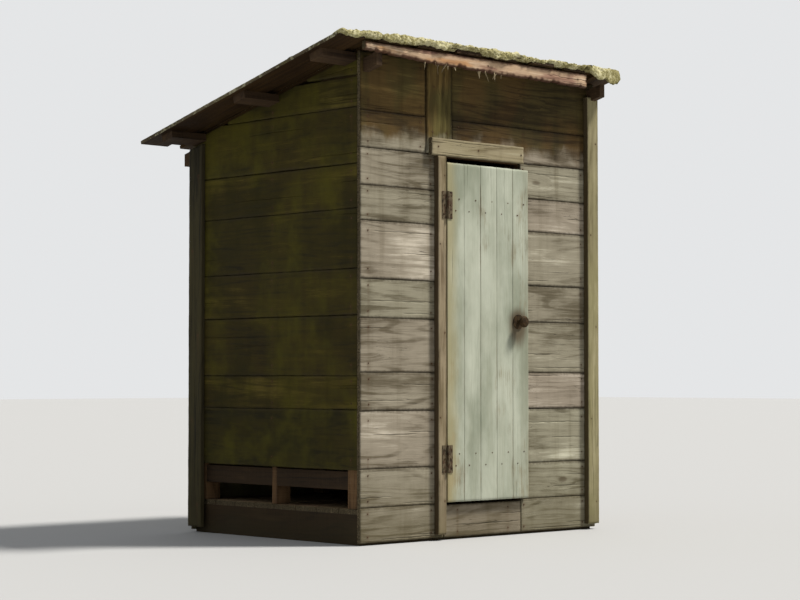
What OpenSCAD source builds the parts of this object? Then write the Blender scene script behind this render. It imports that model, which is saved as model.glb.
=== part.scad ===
// Wooden outhouse with board siding, a single-slope board roof and one plank door.
// It stands on the ground plane, and the origin lies below the middle of the roof.
// The front wall with the door faces -Y, and the roof falls from the front to the back.

/* [Body] */
// Width of the body, outside the siding
body_w = 1735; // [1600:5:2100]
// Depth of the body, outside the siding
body_d = 1350; // [1150:10:1700]
// Thickness of the siding boards
siding_t = 22; // [18:1:32]
// Height of the lowest siding boards above the ground
siding_lift = 12; // [6:1:40]
// Height where the siding stops on the left side, below which its boards are gone
left_open_h = 367; // [362:1:640]

/* [Frame] */
// Width of the square corner posts, and depth of the studs
post_w = 89; // [70:1:110]
// Thickness of the studs, plates, rails and the floor joist
stud_t = 38; // [32:1:50]
// Height of the sill timbers that lie on the ground
sill_h = 150; // [120:5:180]
// Thickness of the floor boards
floor_t = 28; // [20:1:38]
// Height of the underside of the low rail on the left side
low_rail_h = 270; // [240:5:320]
// Depth of the low rail on the left side
low_rail_w = 89; // [60:1:91]

/* [Roof] */
// Height of the underside of the roof boards above the front face of the body
roof_h = 2435; // [2300:5:2700]
// Fall of the roof from the front to the back, in degrees
roof_pitch = 14; // [8:1:18]
// Reach of the roof past the front face and past the back face
roof_over = 145; // [130:1:260]
// Reach of the roof past the left side
roof_left_over = 260; // [60:1:300]
// Reach of the roof past the right side
roof_right_over = 75; // [60:1:300]
// Thickness of the roof boards
roof_board_t = 25; // [18:1:32]
// Number of roof boards in the lower layer
roof_boards = 8; // [6:1:9]
// Width of a roof board in the lower layer
roof_board_w = 184; // [150:1:200]
// Width of a roof board in the upper layer, laid over the joints
cover_board_w = 140; // [120:1:170]
// Depth of the rafters
rafter_h = 64; // [50:1:90]
// Thickness of the purlins, laid flat on the rafters
purlin_h = 38; // [30:1:50]
// Width of the purlins
purlin_w = 89; // [60:1:110]
// Distance that the purlins stop short of the edge of the roof boards
purlin_short = 35; // [10:1:50]

/* [Fascia] */
// Distance from the front face of the body to the front of the fascia
fascia_out = 120; // [60:1:125]
// Thickness of the fascia board
fascia_t = 25; // [18:1:32]
// Depth of the fascia at its left end
fascia_h_left = 42; // [30:1:60]
// Depth of the fascia where its tapered left end begins
fascia_h_mid = 67; // [50:1:100]
// Depth of the fascia at its right end
fascia_h_right = 77; // [50:1:110]
// Length of the tapered left end
fascia_taper = 480; // [100:10:800]
// Reach of the fascia past the left corner of the body
fascia_left = 80; // [0:5:200]
// Distance from the right end of the fascia to the right corner of the body
fascia_right = 185; // [0:5:400]

/* [Doorway] */
// Distance from the left corner of the body to the door casing
casing_x = 508; // [300:2:600]
// Width of the door casing
casing_w = 60; // [50:1:90]
// Distance that the casing and the corner trim stand out from the siding
casing_t = 30; // [24:1:40]
// Height of the lower end of the casing and the corner trim above the ground
casing_lift = 30; // [10:1:150]
// Width of the opening between the siding beside the door
doorway_w = 570; // [480:5:620]
// Open gap between the top of the door and the head board
door_top_gap = 30; // [15:1:60]
// Width of the head board, measured upwards
head_board_h = 90; // [60:1:120]
// Thickness of the head board
head_board_t = 28; // [20:1:36]
// Reach of the head board past the casing on the left
head_board_left = 46; // [0:1:80]
// Reach of the head board past the doorway on the right
head_board_right = 5; // [0:1:80]

/* [Door] */
// Width of the door
door_w = 600; // [500:5:640]
// Height of the door
door_h = 1730; // [1600:5:1770]
// Height of the lower edge of the door above the ground
door_lift = 190; // [185:5:250]
// Thickness of the door boards
door_t = 25; // [18:1:32]
// Gap round the door, beside the casing and in front of the siding
door_gap = 5; // [5:0.5:10]
// Thickness of the ledges and the brace behind the door
ledge_t = 22; // [16:1:30]
// Width of the ledges and the brace
ledge_w = 110; // [80:1:140]
// Distance from the lower and upper edges of the door to the ledges
ledge_in = 160; // [80:5:300]
// Distance from the sides of the doorway to the ends of the ledges
ledge_side = 18; // [10:1:60]

/* [Hinges] */
// Length of each hinge, measured upwards
hinge_h = 140; // [90:2:180]
// Distance from the hinge pin to the outer edge of each leaf
hinge_leaf_w = 36; // [26:1:56]
// Thickness of the hinge leaves
hinge_leaf_t = 3; // [2:0.5:5]
// Radius of the hinge knuckles
knuckle_r = 7; // [6:0.5:8]
// Radius of the hinge pin
pin_r = 3.5; // [2.5:0.5:4.5]
// Distance from the edges of the door to the nearest end of the hinges
hinge_in = 150; // [60:5:400]

/* [Knob] */
// Height of the knob above the ground
knob_z = 1115; // [900:5:1300]
// Distance from the free edge of the door to the middle of the knob
knob_in = 80; // [45:1:120]
// Radius of the knob
knob_r = 30; // [20:1:32]
// Radius of the round plate behind the knob
rose_r = 38; // [28:1:42]

/* [Trim] */
// Width of the trim on the front right corner
corner_trim_w = 89; // [60:1:120]
// Distance from the roof boards down to the upper end of the front corner trim
corner_trim_drop = 80; // [60:1:200]
// Width of the boards on the back corners
back_board_w = 115; // [80:1:150]

/* [Hidden] */

// Clearance where a sloping or notched face seats on another piece
seat = 0.3;
// Clearance of the siding's notches round the rafters and purlins
notch_gap = 1;
// Gap between the purlins and the siding of the front and the back
purlin_gap = 5;
// Radial clearance of the hinge pin in the knuckle of the door leaf
pin_gap = 0.05;
// Gap between the ends of neighbouring knuckles
knuckle_gap = 0.5;
// Clearance from the knuckles to the faces behind them and to the leaves beside them
knuckle_clear = 1.5;
// Height of the floor joist above the ground
joist_lift = 10;
// Gap between the upper ends of the back corner boards and the purlin above them
trim_top_gap = 12;
// Facets of the round parts
round_fn = 48;

// Distance from the left side of the body to the middle of the roof
middle_x = (body_w + roof_right_over - roof_left_over) / 2;

// Inner faces of the frame, and the planes of the siding
frame_in = siding_t + post_w;
frame_right = body_w - siding_t;
frame_back = body_d - siding_t;
floor_top = sill_h + floor_t;

// Doorway and door, measured from the left corner of the body
door_x = casing_x + casing_w + door_gap;
doorway_right = door_x + doorway_w;
door_top = door_lift + door_h;
doorway_top = door_top + door_top_gap;
door_back_y = -door_gap;
door_front_y = door_back_y - door_t;
casing_front_y = -casing_t;

// Hinge pin: beside the door, in front of the door's face
hinge_x = door_x - door_gap / 2;
hinge_stand = knuckle_r + knuckle_clear;
hinge_y = min(door_front_y, casing_front_y) - hinge_stand;
leaf_start = knuckle_r + knuckle_clear;
knuckle_h = hinge_h / 3;
hinge_top_z = door_top - hinge_in - hinge_h;
hinge_bottom_z = door_lift + hinge_in;

// Thicknesses of the roof layers measured straight up
roof_board_v = roof_board_t / cos(roof_pitch);
purlin_v = purlin_h / cos(roof_pitch);
rafter_v = rafter_h / cos(roof_pitch);
// Drop from the roof boards to the top of the rafters, with a seat above and below the purlins
rafter_drop = purlin_v + 2 * seat;
// Drop from the roof boards to the tops of the plates and studs that carry the rafters
frame_drop = rafter_drop + rafter_v + seat;
// Reach of the rafter tails past the front face, up to the back of the fascia
tail_out = fascia_out - fascia_t;

// Height of the underside of the roof boards at a distance y behind the front face
function deck_z(y) = roof_h - y * tan(roof_pitch);
// Height of the underside of the rafters at a distance y
function rafter_under(y) = deck_z(y) - rafter_drop - rafter_v;

plate_front_z = rafter_under(frame_in) - stud_t;
plate_back_z = rafter_under(frame_back) - stud_t;
stud_back_x = (body_w - stud_t) / 2;
stud_side_y = (body_d - stud_t) / 2;
// Distance from the front face of the body to the upper front edge of each purlin
purlin_ys = [
    siding_t + purlin_gap + purlin_h * sin(roof_pitch),
    (body_d - purlin_w) / 2,
    frame_back - purlin_gap - purlin_w
];

timber = [0.42, 0.33, 0.24];
grey_board = [0.62, 0.58, 0.52];
shade_board = [0.42, 0.42, 0.3];
roof_wood = [0.6, 0.58, 0.42];
door_paint = [0.66, 0.69, 0.6];
rust = [0.3, 0.2, 0.14];

// Places the parts, which are measured from the front left corner of the body
module from_corner() {
    translate([-middle_x, -body_d / 2, 0]) children();
}

// A box between two corners
module block(low, high) {
    translate(low) cube(high - low);
}

// A piece from x0 to x1 with an outline drawn in depth and height
module across(x0, x1, outline) {
    translate([x0, 0, 0]) rotate([90, 0, 90]) linear_extrude(height = x1 - x0) polygon(outline);
}

// An upright piece from y0 to y1 whose sloping top lies a drop below the roof boards
module under_roof(x0, x1, y0, y1, z0, drop) {
    across(x0, x1, [[y0, z0], [y1, z0], [y1, deck_z(y1) - drop], [y0, deck_z(y0) - drop]]);
}

// A sloping piece between two heights that are measured straight up from the roof boards
module sloping(x0, x1, y0, y1, low, high) {
    across(x0, x1, [
        [y0, deck_z(y0) + low], [y1, deck_z(y1) + low],
        [y1, deck_z(y1) + high], [y0, deck_z(y0) + high]
    ]);
}

// One purlin, square to the roof, grown by a gap where it cuts a notch
module purlin(y, x0, x1, gap = 0) {
    translate([x0, y, deck_z(y)]) rotate([-roof_pitch, 0, 0])
        translate([0, -gap, -purlin_h - gap]) cube([x1 - x0, purlin_w + 2 * gap, purlin_h + 2 * gap]);
}

// The two rafters, inside the siding of each side, where high is the height of their tops
module rafter_pair(gap, high) {
    for (x = [siding_t, frame_right - stud_t])
        sloping(x - gap, x + stud_t + gap, -tail_out, body_d + tail_out, -rafter_drop - rafter_v - gap, high);
}

// Cuts notches round the rafters that stay open up to the roof boards
module rafter_notches() {
    rafter_pair(notch_gap, notch_gap);
}

module sill_left() {
    color(timber) from_corner() block([siding_t, siding_t, 0], [frame_in, frame_back, sill_h]);
}

module sill_right() {
    color(timber) from_corner()
        block([body_w - frame_in, siding_t, 0], [frame_right, frame_back, sill_h]);
}

module sill_front() {
    color(timber) from_corner() block([frame_in, siding_t, 0], [body_w - frame_in, frame_in, sill_h]);
}

module sill_back() {
    color(timber) from_corner()
        block([frame_in, body_d - frame_in, 0], [body_w - frame_in, frame_back, sill_h]);
}

module floor_joist() {
    color(timber) from_corner()
        block([stud_back_x, frame_in, joist_lift], [stud_back_x + stud_t, body_d - frame_in, sill_h]);
}

module floor_boards() {
    color(grey_board) from_corner()
        block([siding_t, siding_t, sill_h], [frame_right, frame_back, floor_top]);
}

// A corner post from the floor to the plate above it
module post(x, y, top) {
    color(timber) from_corner() block([x, y, floor_top], [x + post_w, y + post_w, top]);
}

module post_front_left() {
    post(siding_t, siding_t, plate_front_z);
}

module post_front_right() {
    post(frame_right - post_w, siding_t, plate_front_z);
}

module post_back_left() {
    post(siding_t, frame_back - post_w, plate_back_z);
}

module post_back_right() {
    post(frame_right - post_w, frame_back - post_w, plate_back_z);
}

// A stud in the middle of a side, cut to the slope below the rafter
module side_stud(x) {
    color(timber) from_corner()
        under_roof(x, x + post_w, stud_side_y, stud_side_y + stud_t, floor_top, frame_drop);
}

module stud_left() {
    side_stud(siding_t);
}

module stud_right() {
    side_stud(frame_right - post_w);
}

module stud_back() {
    color(timber) from_corner()
        block(
            [stud_back_x, frame_back - post_w, floor_top],
            [stud_back_x + stud_t, frame_back, plate_back_z]
        );
}

// A stud beside the doorway
module door_stud(x) {
    color(timber) from_corner() block([x, siding_t, floor_top], [x + stud_t, frame_in, plate_front_z]);
}

module door_stud_left() {
    door_stud(door_x - stud_t);
}

module door_stud_right() {
    door_stud(doorway_right);
}

module door_header() {
    color(timber) from_corner()
        block(
            [door_x, siding_t, doorway_top],
            [doorway_right, siding_t + stud_t, doorway_top + head_board_h]
        );
}

// The rail behind the open foot of the left side, in two lengths beside the stud
module low_rail_left() {
    color(timber) from_corner() {
        for (y = [[frame_in, stud_side_y], [stud_side_y + stud_t, body_d - frame_in]])
            block([siding_t, y[0], low_rail_h], [siding_t + stud_t, y[1], low_rail_h + low_rail_w]);
    }
}

module plate_front() {
    color(timber) from_corner()
        under_roof(siding_t, frame_right, siding_t, frame_in, plate_front_z, frame_drop);
}

module plate_back() {
    color(timber) from_corner()
        under_roof(siding_t, frame_right, frame_back - post_w, frame_back, plate_back_z, frame_drop);
}

module rafters() {
    color(timber) from_corner() rafter_pair(0, -rafter_drop);
}

module purlins() {
    x0 = purlin_short - roof_left_over;
    x1 = body_w + roof_right_over - purlin_short;
    color(timber) from_corner() {
        for (y = purlin_ys)
            translate([0, 0, -seat]) purlin(y, x0, x1);
    }
}

// Siding of one side, between the front and the back siding, notched for the purlins
module side_wall(x, bottom) {
    color(shade_board) from_corner() difference() {
        under_roof(x, x + siding_t, siding_t, frame_back, bottom, seat);
        for (y = purlin_ys)
            purlin(y, x - notch_gap, x + siding_t + notch_gap, notch_gap);
    }
}

module wall_left() {
    side_wall(0, left_open_h);
}

module wall_right() {
    side_wall(frame_right, siding_lift);
}

module wall_back() {
    color(grey_board) from_corner() difference() {
        under_roof(0, body_w, frame_back, body_d, siding_lift, seat);
        rafter_notches();
    }
}

// Siding of the front, from the foot to the roof, notched for the rafters
module front_wall(x0, x1, bottom) {
    color(grey_board) from_corner() difference() {
        under_roof(x0, x1, 0, siding_t, bottom, seat);
        rafter_notches();
    }
}

module wall_front_left() {
    front_wall(0, door_x, siding_lift);
}

module wall_front_right() {
    front_wall(doorway_right, body_w, siding_lift);
}

module wall_over_door() {
    color(grey_board) from_corner() under_roof(door_x, doorway_right, 0, siding_t, doorway_top, seat);
}

module wall_under_door() {
    color(grey_board) from_corner() block([door_x, 0, siding_lift], [doorway_right, siding_t, floor_top]);
}

module door_casing() {
    color(grey_board) from_corner()
        block([casing_x, casing_front_y, casing_lift], [casing_x + casing_w, 0, doorway_top]);
}

module head_board() {
    color(grey_board) from_corner()
        block(
            [casing_x - head_board_left, -head_board_t, doorway_top],
            [doorway_right + head_board_right, 0, doorway_top + head_board_h]
        );
}

// Trim on the front right corner, notched for the rafter tail that comes through the siding
module corner_trim_front() {
    top = deck_z(0) - corner_trim_drop;
    color(grey_board) from_corner() difference() {
        block([body_w - corner_trim_w, casing_front_y, casing_lift], [body_w, 0, top]);
        rafter_notches();
    }
}

// Boards over the back ends of the side siding, below the purlin
module corner_boards_back() {
    color(timber) from_corner() {
        for (x = [-siding_t, body_w])
            under_roof(x, x + siding_t, body_d - back_board_w, body_d, casing_lift, purlin_v + trim_top_gap);
    }
}

// Fascia with a tapered left end, which deepens towards the right, under the ends of the roof boards
module fascia_front() {
    top = deck_z(-tail_out) - seat;
    x0 = -fascia_left;
    x1 = x0 + fascia_taper;
    x2 = body_w - fascia_right;
    color(grey_board) from_corner()
        translate([0, -tail_out, 0]) rotate([90, 0, 0]) linear_extrude(height = fascia_t)
            polygon([
                [x0, top - fascia_h_left], [x1, top - fascia_h_mid], [x2, top - fascia_h_right],
                [x2, top], [x0, top]
            ]);
}

// Places of the roof boards across the whole width of the roof
roof_w = body_w + roof_left_over + roof_right_over;
roof_step = (roof_w - roof_board_w) / (roof_boards - 1);

module roof_boards_lower() {
    color(roof_wood) from_corner() {
        for (i = [0 : roof_boards - 1]) {
            x = i * roof_step - roof_left_over;
            sloping(x, x + roof_board_w, -roof_over, body_d + roof_over, 0, roof_board_v);
        }
    }
}

module roof_boards_upper() {
    color(roof_wood) from_corner() {
        for (i = [0 : roof_boards - 2]) {
            x = (i + 0.5) * roof_step + (roof_board_w - cover_board_w) / 2 - roof_left_over;
            sloping(
                x, x + cover_board_w, -roof_over, body_d + roof_over,
                roof_board_v + seat, 2 * roof_board_v + seat
            );
        }
    }
}

// One knuckle of a hinge, joined to its leaf, where side is -1 for the casing and 1 for the door
module knuckle(side, z, height, plane_y) {
    translate([0, 0, z]) cylinder(r = knuckle_r, h = height, $fn = round_fn);
    x = side > 0 ? 0 : -leaf_start - 1;
    translate([x, plane_y - hinge_leaf_t, z]) cube([leaf_start + 1, hinge_leaf_t, height]);
}

// A leaf of a hinge, on the face that lies plane_y behind the pin
module leaf(side, plane_y) {
    x = side > 0 ? leaf_start : -hinge_leaf_w;
    translate([x, plane_y - hinge_leaf_t, 0]) cube([hinge_leaf_w - leaf_start, hinge_leaf_t, hinge_h]);
}

// The leaf on the casing, with the outer knuckles and the pin
module hinge_frame(z) {
    plane_y = casing_front_y - hinge_y;
    color(rust) from_corner() translate([hinge_x, hinge_y, z]) {
        leaf(-1, plane_y);
        knuckle(-1, 0, knuckle_h - knuckle_gap, plane_y);
        knuckle(-1, 2 * knuckle_h + knuckle_gap, knuckle_h - knuckle_gap, plane_y);
        cylinder(r = pin_r, h = hinge_h, $fn = round_fn);
    }
}

// The leaf on the door, with the middle knuckle bored for the pin
module hinge_door(z) {
    plane_y = door_front_y - hinge_y;
    color(rust) from_corner() translate([hinge_x, hinge_y, z]) difference() {
        union() {
            leaf(1, plane_y);
            knuckle(1, knuckle_h, knuckle_h, plane_y);
        }
        translate([0, 0, -1]) cylinder(r = pin_r + pin_gap, h = hinge_h + 2, $fn = round_fn);
    }
}

module hinge_top_frame() {
    hinge_frame(hinge_top_z);
}

module hinge_bottom_frame() {
    hinge_frame(hinge_bottom_z);
}

module hinge_top_door() {
    hinge_door(hinge_top_z);
}

module hinge_bottom_door() {
    hinge_door(hinge_bottom_z);
}

module door_boards() {
    color(door_paint) from_corner()
        block([door_x, door_front_y, door_lift], [door_x + door_w, door_back_y, door_top]);
}

// A ledge across the back of the door, inside the doorway
module ledge(z) {
    x0 = door_x + ledge_side;
    x1 = doorway_right - ledge_side;
    color(timber) from_corner()
        block([x0, door_back_y, z], [x1, door_back_y + ledge_t, z + ledge_w]);
}

ledge_top_z = door_top - ledge_in - ledge_w;
ledge_bottom_z = door_lift + ledge_in;

module door_ledge_top() {
    ledge(ledge_top_z);
}

module door_ledge_bottom() {
    ledge(ledge_bottom_z);
}

// The brace rises from the hinge side to the free side between the ledges
module door_brace() {
    x0 = door_x + ledge_side;
    x1 = doorway_right - ledge_side;
    z0 = ledge_bottom_z + ledge_w;
    color(timber) from_corner()
        translate([0, door_back_y + ledge_t, 0]) rotate([90, 0, 0]) linear_extrude(height = ledge_t)
            polygon([[x0, z0], [x0 + ledge_w, z0], [x1, ledge_top_z], [x1 - ledge_w, ledge_top_z]]);
}

// Turned knob with its round plate, on the outside of the door
module door_knob() {
    neck_r = 0.4 * knob_r;
    neck_len = 26;
    rose_t = 5;
    knob_x = door_x + door_w - knob_in;
    color(rust) from_corner() translate([knob_x, door_front_y, knob_z]) rotate([90, 0, 0]) {
        cylinder(r = rose_r, h = rose_t, $fn = round_fn);
        cylinder(r = neck_r, h = neck_len + knob_r / 2, $fn = round_fn);
        translate([0, 0, neck_len]) rotate_extrude($fn = round_fn)
            polygon([
                [0, 0], [0.45 * knob_r, 0], [0.82 * knob_r, 0.18 * knob_r], [knob_r, 0.5 * knob_r],
                [0.96 * knob_r, 0.8 * knob_r], [0.72 * knob_r, 1.02 * knob_r], [0, 1.12 * knob_r]
            ]);
    }
}

sill_left();
sill_right();
sill_front();
sill_back();
floor_joist();
floor_boards();  // floor
post_front_left();
post_front_right();
post_back_left();
post_back_right();
stud_left();
stud_right();
stud_back();
door_stud_left();
door_stud_right();
door_header();
low_rail_left();
plate_front();
plate_back();
rafters();
purlins();
wall_left();
wall_right();
wall_back();
wall_front_left();
wall_front_right();
wall_over_door();
wall_under_door();
door_casing();
head_board();
corner_trim_front();
corner_boards_back();
fascia_front();
roof_boards_lower();
roof_boards_upper();
hinge_top_frame();
hinge_bottom_frame();
door_boards();
door_ledge_top();
door_ledge_bottom();
door_brace();
hinge_top_door();
hinge_bottom_door();
door_knob();
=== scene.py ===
"""The looks of a small weathered wooden outhouse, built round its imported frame."""

import math

import bpy
import numpy as np
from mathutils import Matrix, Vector


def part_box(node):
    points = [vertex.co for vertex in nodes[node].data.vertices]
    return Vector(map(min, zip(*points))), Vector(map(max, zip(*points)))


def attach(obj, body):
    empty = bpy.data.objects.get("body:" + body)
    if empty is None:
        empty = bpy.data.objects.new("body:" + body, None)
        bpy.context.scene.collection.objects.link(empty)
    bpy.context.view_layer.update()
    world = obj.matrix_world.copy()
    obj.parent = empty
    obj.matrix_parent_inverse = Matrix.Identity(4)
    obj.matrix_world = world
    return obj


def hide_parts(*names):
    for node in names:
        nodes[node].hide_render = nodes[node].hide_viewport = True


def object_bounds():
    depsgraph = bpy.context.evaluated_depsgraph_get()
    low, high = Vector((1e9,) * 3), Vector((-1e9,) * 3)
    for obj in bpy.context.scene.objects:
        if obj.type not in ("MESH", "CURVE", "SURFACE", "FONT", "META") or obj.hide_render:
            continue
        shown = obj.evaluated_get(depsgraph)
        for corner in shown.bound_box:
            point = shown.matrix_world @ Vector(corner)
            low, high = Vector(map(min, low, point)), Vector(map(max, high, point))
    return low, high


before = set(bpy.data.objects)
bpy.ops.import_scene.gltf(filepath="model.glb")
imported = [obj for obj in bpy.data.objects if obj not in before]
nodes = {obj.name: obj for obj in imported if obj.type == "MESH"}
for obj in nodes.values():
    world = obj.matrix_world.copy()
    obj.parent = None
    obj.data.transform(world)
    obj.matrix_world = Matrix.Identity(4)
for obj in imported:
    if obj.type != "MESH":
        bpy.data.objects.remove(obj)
packed_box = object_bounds()

# Sill timbers and floor joist. Four rough-sawn square timbers lie on the ground and carry the
# whole house, with one joist between them. They are aged brown softwood, darker low down, and
# their dark tones are partly damp wood and partly painted shade of the space under the floor.


class Measure:
    """What nodes work out at each spot of a piece: a number, a point or a colour, or else a whole mesh.

    Sums on measures read as sums, and a name in brackets asks for another output of the same node.
    """

    def __init__(self, socket):
        self.socket = socket
        self.tree = socket.id_data

    def __getitem__(self, output):
        return Measure(self.socket.node.outputs[output])

    def __add__(self, other):
        return calc("ADD", self, other)

    def __sub__(self, other):
        return calc("SUBTRACT", self, other)

    def __rsub__(self, other):
        return calc("SUBTRACT", other, self)

    def __mul__(self, other):
        return calc("MULTIPLY", self, other)


def feed(socket, value):
    """Links a measure to a socket, or writes a plain value on it."""
    if isinstance(value, Measure):
        value.tree.links.new(value.socket, socket)
    else:
        socket.default_value = value


def tree_of(*values):
    """The node tree of the first measure among some values."""
    return next(v.tree for v in values if isinstance(v, Measure))


def add_node(tree, kind, settings=(), **inputs):
    """Adds a node, feeds its inputs by name, and gives its first output where it has one."""
    n = tree.nodes.new(kind)
    for key, value in dict(settings).items():
        setattr(n, key, value)
    for label, value in inputs.items():
        feed(n.inputs[label.replace("_", " ")], value)
    return Measure(n.outputs[0]) if len(n.outputs) else None


def calc(operation, *values):
    """One sum on numbers, or on points and colours where a measure of them takes part."""
    on_points = any(isinstance(v, Measure) and v.socket.type in ("VECTOR", "RGBA") for v in values)
    n = tree_of(*values).nodes.new("ShaderNodeVectorMath" if on_points else "ShaderNodeMath")
    n.operation = operation
    for socket, value in zip(n.inputs, values):
        feed(socket, value)
    return Measure(n.outputs[0])


def part(point, letter):
    """The X, Y or Z of a point."""
    return add_node(point.tree, "ShaderNodeSeparateXYZ", Vector=point)[letter]


def point_of(x, y, z):
    """The point with these three numbers."""
    return add_node(tree_of(x, y, z), "ShaderNodeCombineXYZ", X=x, Y=y, Z=z)


def cloud(point, stretch, detail=2.0, rough=0.5):
    """Soft noise, with as many lumps to the metre along each direction as stretch says."""
    spread = point * (stretch if isinstance(stretch, tuple) else (stretch,) * 3)
    return add_node(
        point.tree, "ShaderNodeTexNoise", Vector=spread, Scale=1.0, Detail=detail, Roughness=rough)


def fade(value, start, end, low=0.0, high=1.0):
    """Goes smoothly from low to high while the value goes from start to end."""
    return add_node(
        value.tree, "ShaderNodeMapRange", {"interpolation_type": "SMOOTHSTEP"},
        Value=value, From_Min=start, From_Max=end, To_Min=low, To_Max=high)


def mix(share, a, b, way="MIX"):
    """Mixes two colours, or stains the first with the second where the way is to multiply."""
    n = tree_of(share, a, b).nodes.new("ShaderNodeMix")
    n.data_type = "RGBA"
    n.blend_type = way
    for i, value in ((0, share), (6, a), (7, b)):
        feed(n.inputs[i], value)
    return Measure(n.outputs[2])


def shade(red, green, blue):
    """A colour of the wood or iron as it looks, from 0 to 255, in the shader's own scale."""
    scaled = [c / 255 for c in (red, green, blue)]
    return [c / 12.92 if c < 0.04045 else ((c + 0.055) / 1.055) ** 2.4 for c in scaled] + [1.0]


def three_shades(tones):
    """The pale, middle and dark tone of a wood, by the names that the old wood has for them."""
    return {label: shade(*tone) for label, tone in zip(("Pale", "Mid", "Dark"), tones)}


def new_group(name, inputs, outputs, kind="ShaderNodeTree"):
    """A node tree with named inputs, each of the kind of the value given for it, and named outputs."""
    tree = bpy.data.node_groups.new(name, kind)
    kinds = {float: "Float", int: "Int", list: "Color", tuple: "Vector", type(None): "Geometry"}
    for label, value in inputs.items():
        sort = "NodeSocket" + kinds[type(value)]
        socket = tree.interface.new_socket(name=label, in_out="INPUT", socket_type=sort)
        if value is not None:
            socket.default_value = value
    for label, sort in outputs.items():
        tree.interface.new_socket(name=label, in_out="OUTPUT", socket_type="NodeSocket" + sort)
    return add_node(tree, "NodeGroupInput")


def use_group(tree, group, **values):
    """Places a group in a material and feeds its inputs by name."""
    return add_node(tree, "ShaderNodeGroup", {"node_tree": group}, **values)


def make_wood_group():
    """Old sawn wood. Grain is a point in metres whose first number runs along the fibres."""
    given = new_group(
        "old wood",
        {
            "Grain": (0.0, 0.0, 0.0), "Board": 0.5, "Knots": 1.0, "Checks": 1.0,
            **three_shades(((190, 184, 163), (148, 141, 121), (96, 88, 66))),
        },
        {"Color": "Color", "Height": "Float", "Tone": "Float"},
    )
    grain = given["Grain"]
    # A knot now and then, with the fibres bent round it
    spread = grain * (2.3, 6.0, 6.0)
    cells = add_node(grain.tree, "ShaderNodeTexVoronoi", Vector=spread, Scale=1.0)
    lot = add_node(grain.tree, "ShaderNodeSeparateColor", Color=cells["Color"])
    has_knot = fade(lot, 0.76, 0.78) * given["Knots"]
    near = fade(cells["Distance"], 0.1, 0.5, 1.0, 0.0) * has_knot
    core = fade(cells["Distance"], 0.05, 0.11, 1.0, 0.0) * has_knot
    bent = grain - (spread - cells["Position"]) * (0.0, 0.09, 0.09) * near
    # The fibres wander a little along the board
    wander = cloud(bent, (1.1, 3.0, 3.0))["Color"] - (0.5, 0.5, 0.5)
    point = bent + wander * (0.0, 0.05, 0.05)
    # Year rings show as long arches of thin dark late wood
    late_wood = fade(calc("SINE", cloud(point, (0.7, 7.5, 7.5), 1.5, 0.4) * 58.0), 0.25, 1.0)
    streaks = cloud(point, (1.3, 38.0, 38.0), 4.0, 0.55)
    fibres = cloud(point, (7.0, 330.0, 330.0), 3.0, 0.6)
    weathered = cloud(grain, (1.7, 4.2, 4.2), 5.0, 0.6)
    tone = streaks * 0.62 + fibres * 0.5 - late_wood * 0.13 - 0.08
    tone = tone + (given["Board"] - 0.5) * 0.34 + (weathered - 0.5) * 1.15
    # Long thin drying checks, in patches
    line = calc("ABSOLUTE", cloud(point, (1.2, 55.0, 55.0), 1.5) - 0.5)
    patch = fade(cloud(grain, (2.2, 9.0, 9.0)), 0.5, 0.64)
    check = fade(line, 0.001, 0.009, 1.0, 0.0) * patch * given["Checks"]
    colour = mix(fade(tone, 0.12, 0.5), given["Dark"], given["Mid"])
    colour = mix(fade(tone, 0.5, 0.92), colour, given["Pale"])
    # One board greys a little pinker, another a little greener
    cast = mix(calc("FRACT", given["Board"] * 7.3), shade(255, 248, 248), shade(248, 252, 244))
    colour = mix(1.0, colour, cast, "MULTIPLY")
    colour = mix(check * 0.7, colour, shade(42, 36, 26))
    colour = mix(core * 0.6, colour, shade(66, 50, 33))
    height = (fibres + streaks) * 0.5 + late_wood * 0.16 - check * 0.8 + core * 0.35
    add_node(grain.tree, "NodeGroupOutput", Color=colour, Height=height, Tone=tone)
    return grain.tree


wood_group = make_wood_group()


def new_material(name):
    """An empty node material, with the point on the piece in metres to start from."""
    material = bpy.data.materials.new(name)
    material.use_nodes = True
    material.node_tree.nodes.clear()
    return material, add_node(material.node_tree, "ShaderNodeTexCoord")["Object"]


def close_material(colour, height, rough, bump=0.7, depth=0.002, shine=0.14, metal=0.0):
    """Puts colour, relief and roughness on the surface."""
    relief = add_node(colour.tree, "ShaderNodeBump", Strength=bump, Distance=depth, Height=height)
    body = add_node(
        colour.tree, "ShaderNodeBsdfPrincipled", Base_Color=colour, Roughness=rough, Normal=relief,
        Specular_IOR_Level=shine, Metallic=metal)
    add_node(colour.tree, "ShaderNodeOutputMaterial", Surface=body)


def timber_material(name, axis, tilt=0.0, tones=((142, 116, 86), (108, 82, 56), (64, 46, 30))):
    """Rough-sawn frame timber with saw marks across it. Axis is the way that its fibres run."""
    material, place = new_material(name)
    turned = place
    if tilt:
        about_y = {"rotation_type": "Y_AXIS"}
        turned = add_node(place.tree, "ShaderNodeVectorRotate", about_y, Vector=place, Angle=tilt)
    grain = point_of(*[part(turned, letter) for letter in {"x": "XYZ", "y": "YXZ", "z": "ZXY"}[axis]])
    wood = use_group(place.tree, wood_group, Grain=grain, Knots=0.8, Checks=0.8, **three_shades(tones))
    marks = cloud(grain, (130.0, 4.0, 4.0))
    colour = mix(fade(marks, 0.45, 0.65, 0.0, 0.12), wood["Color"], shade(*tones[0]))
    damp = cloud(turned, 7.0, 3.0) * 0.2 + part(place, "Z")
    colour = mix(fade(damp, 0.08, 0.34, 0.62, 0.0), colour, shade(58, 52, 34))
    close_material(colour, wood["Height"] + marks * 0.35, fade(wood["Tone"], 0.2, 0.9, 0.8, 0.92))
    return material


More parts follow.
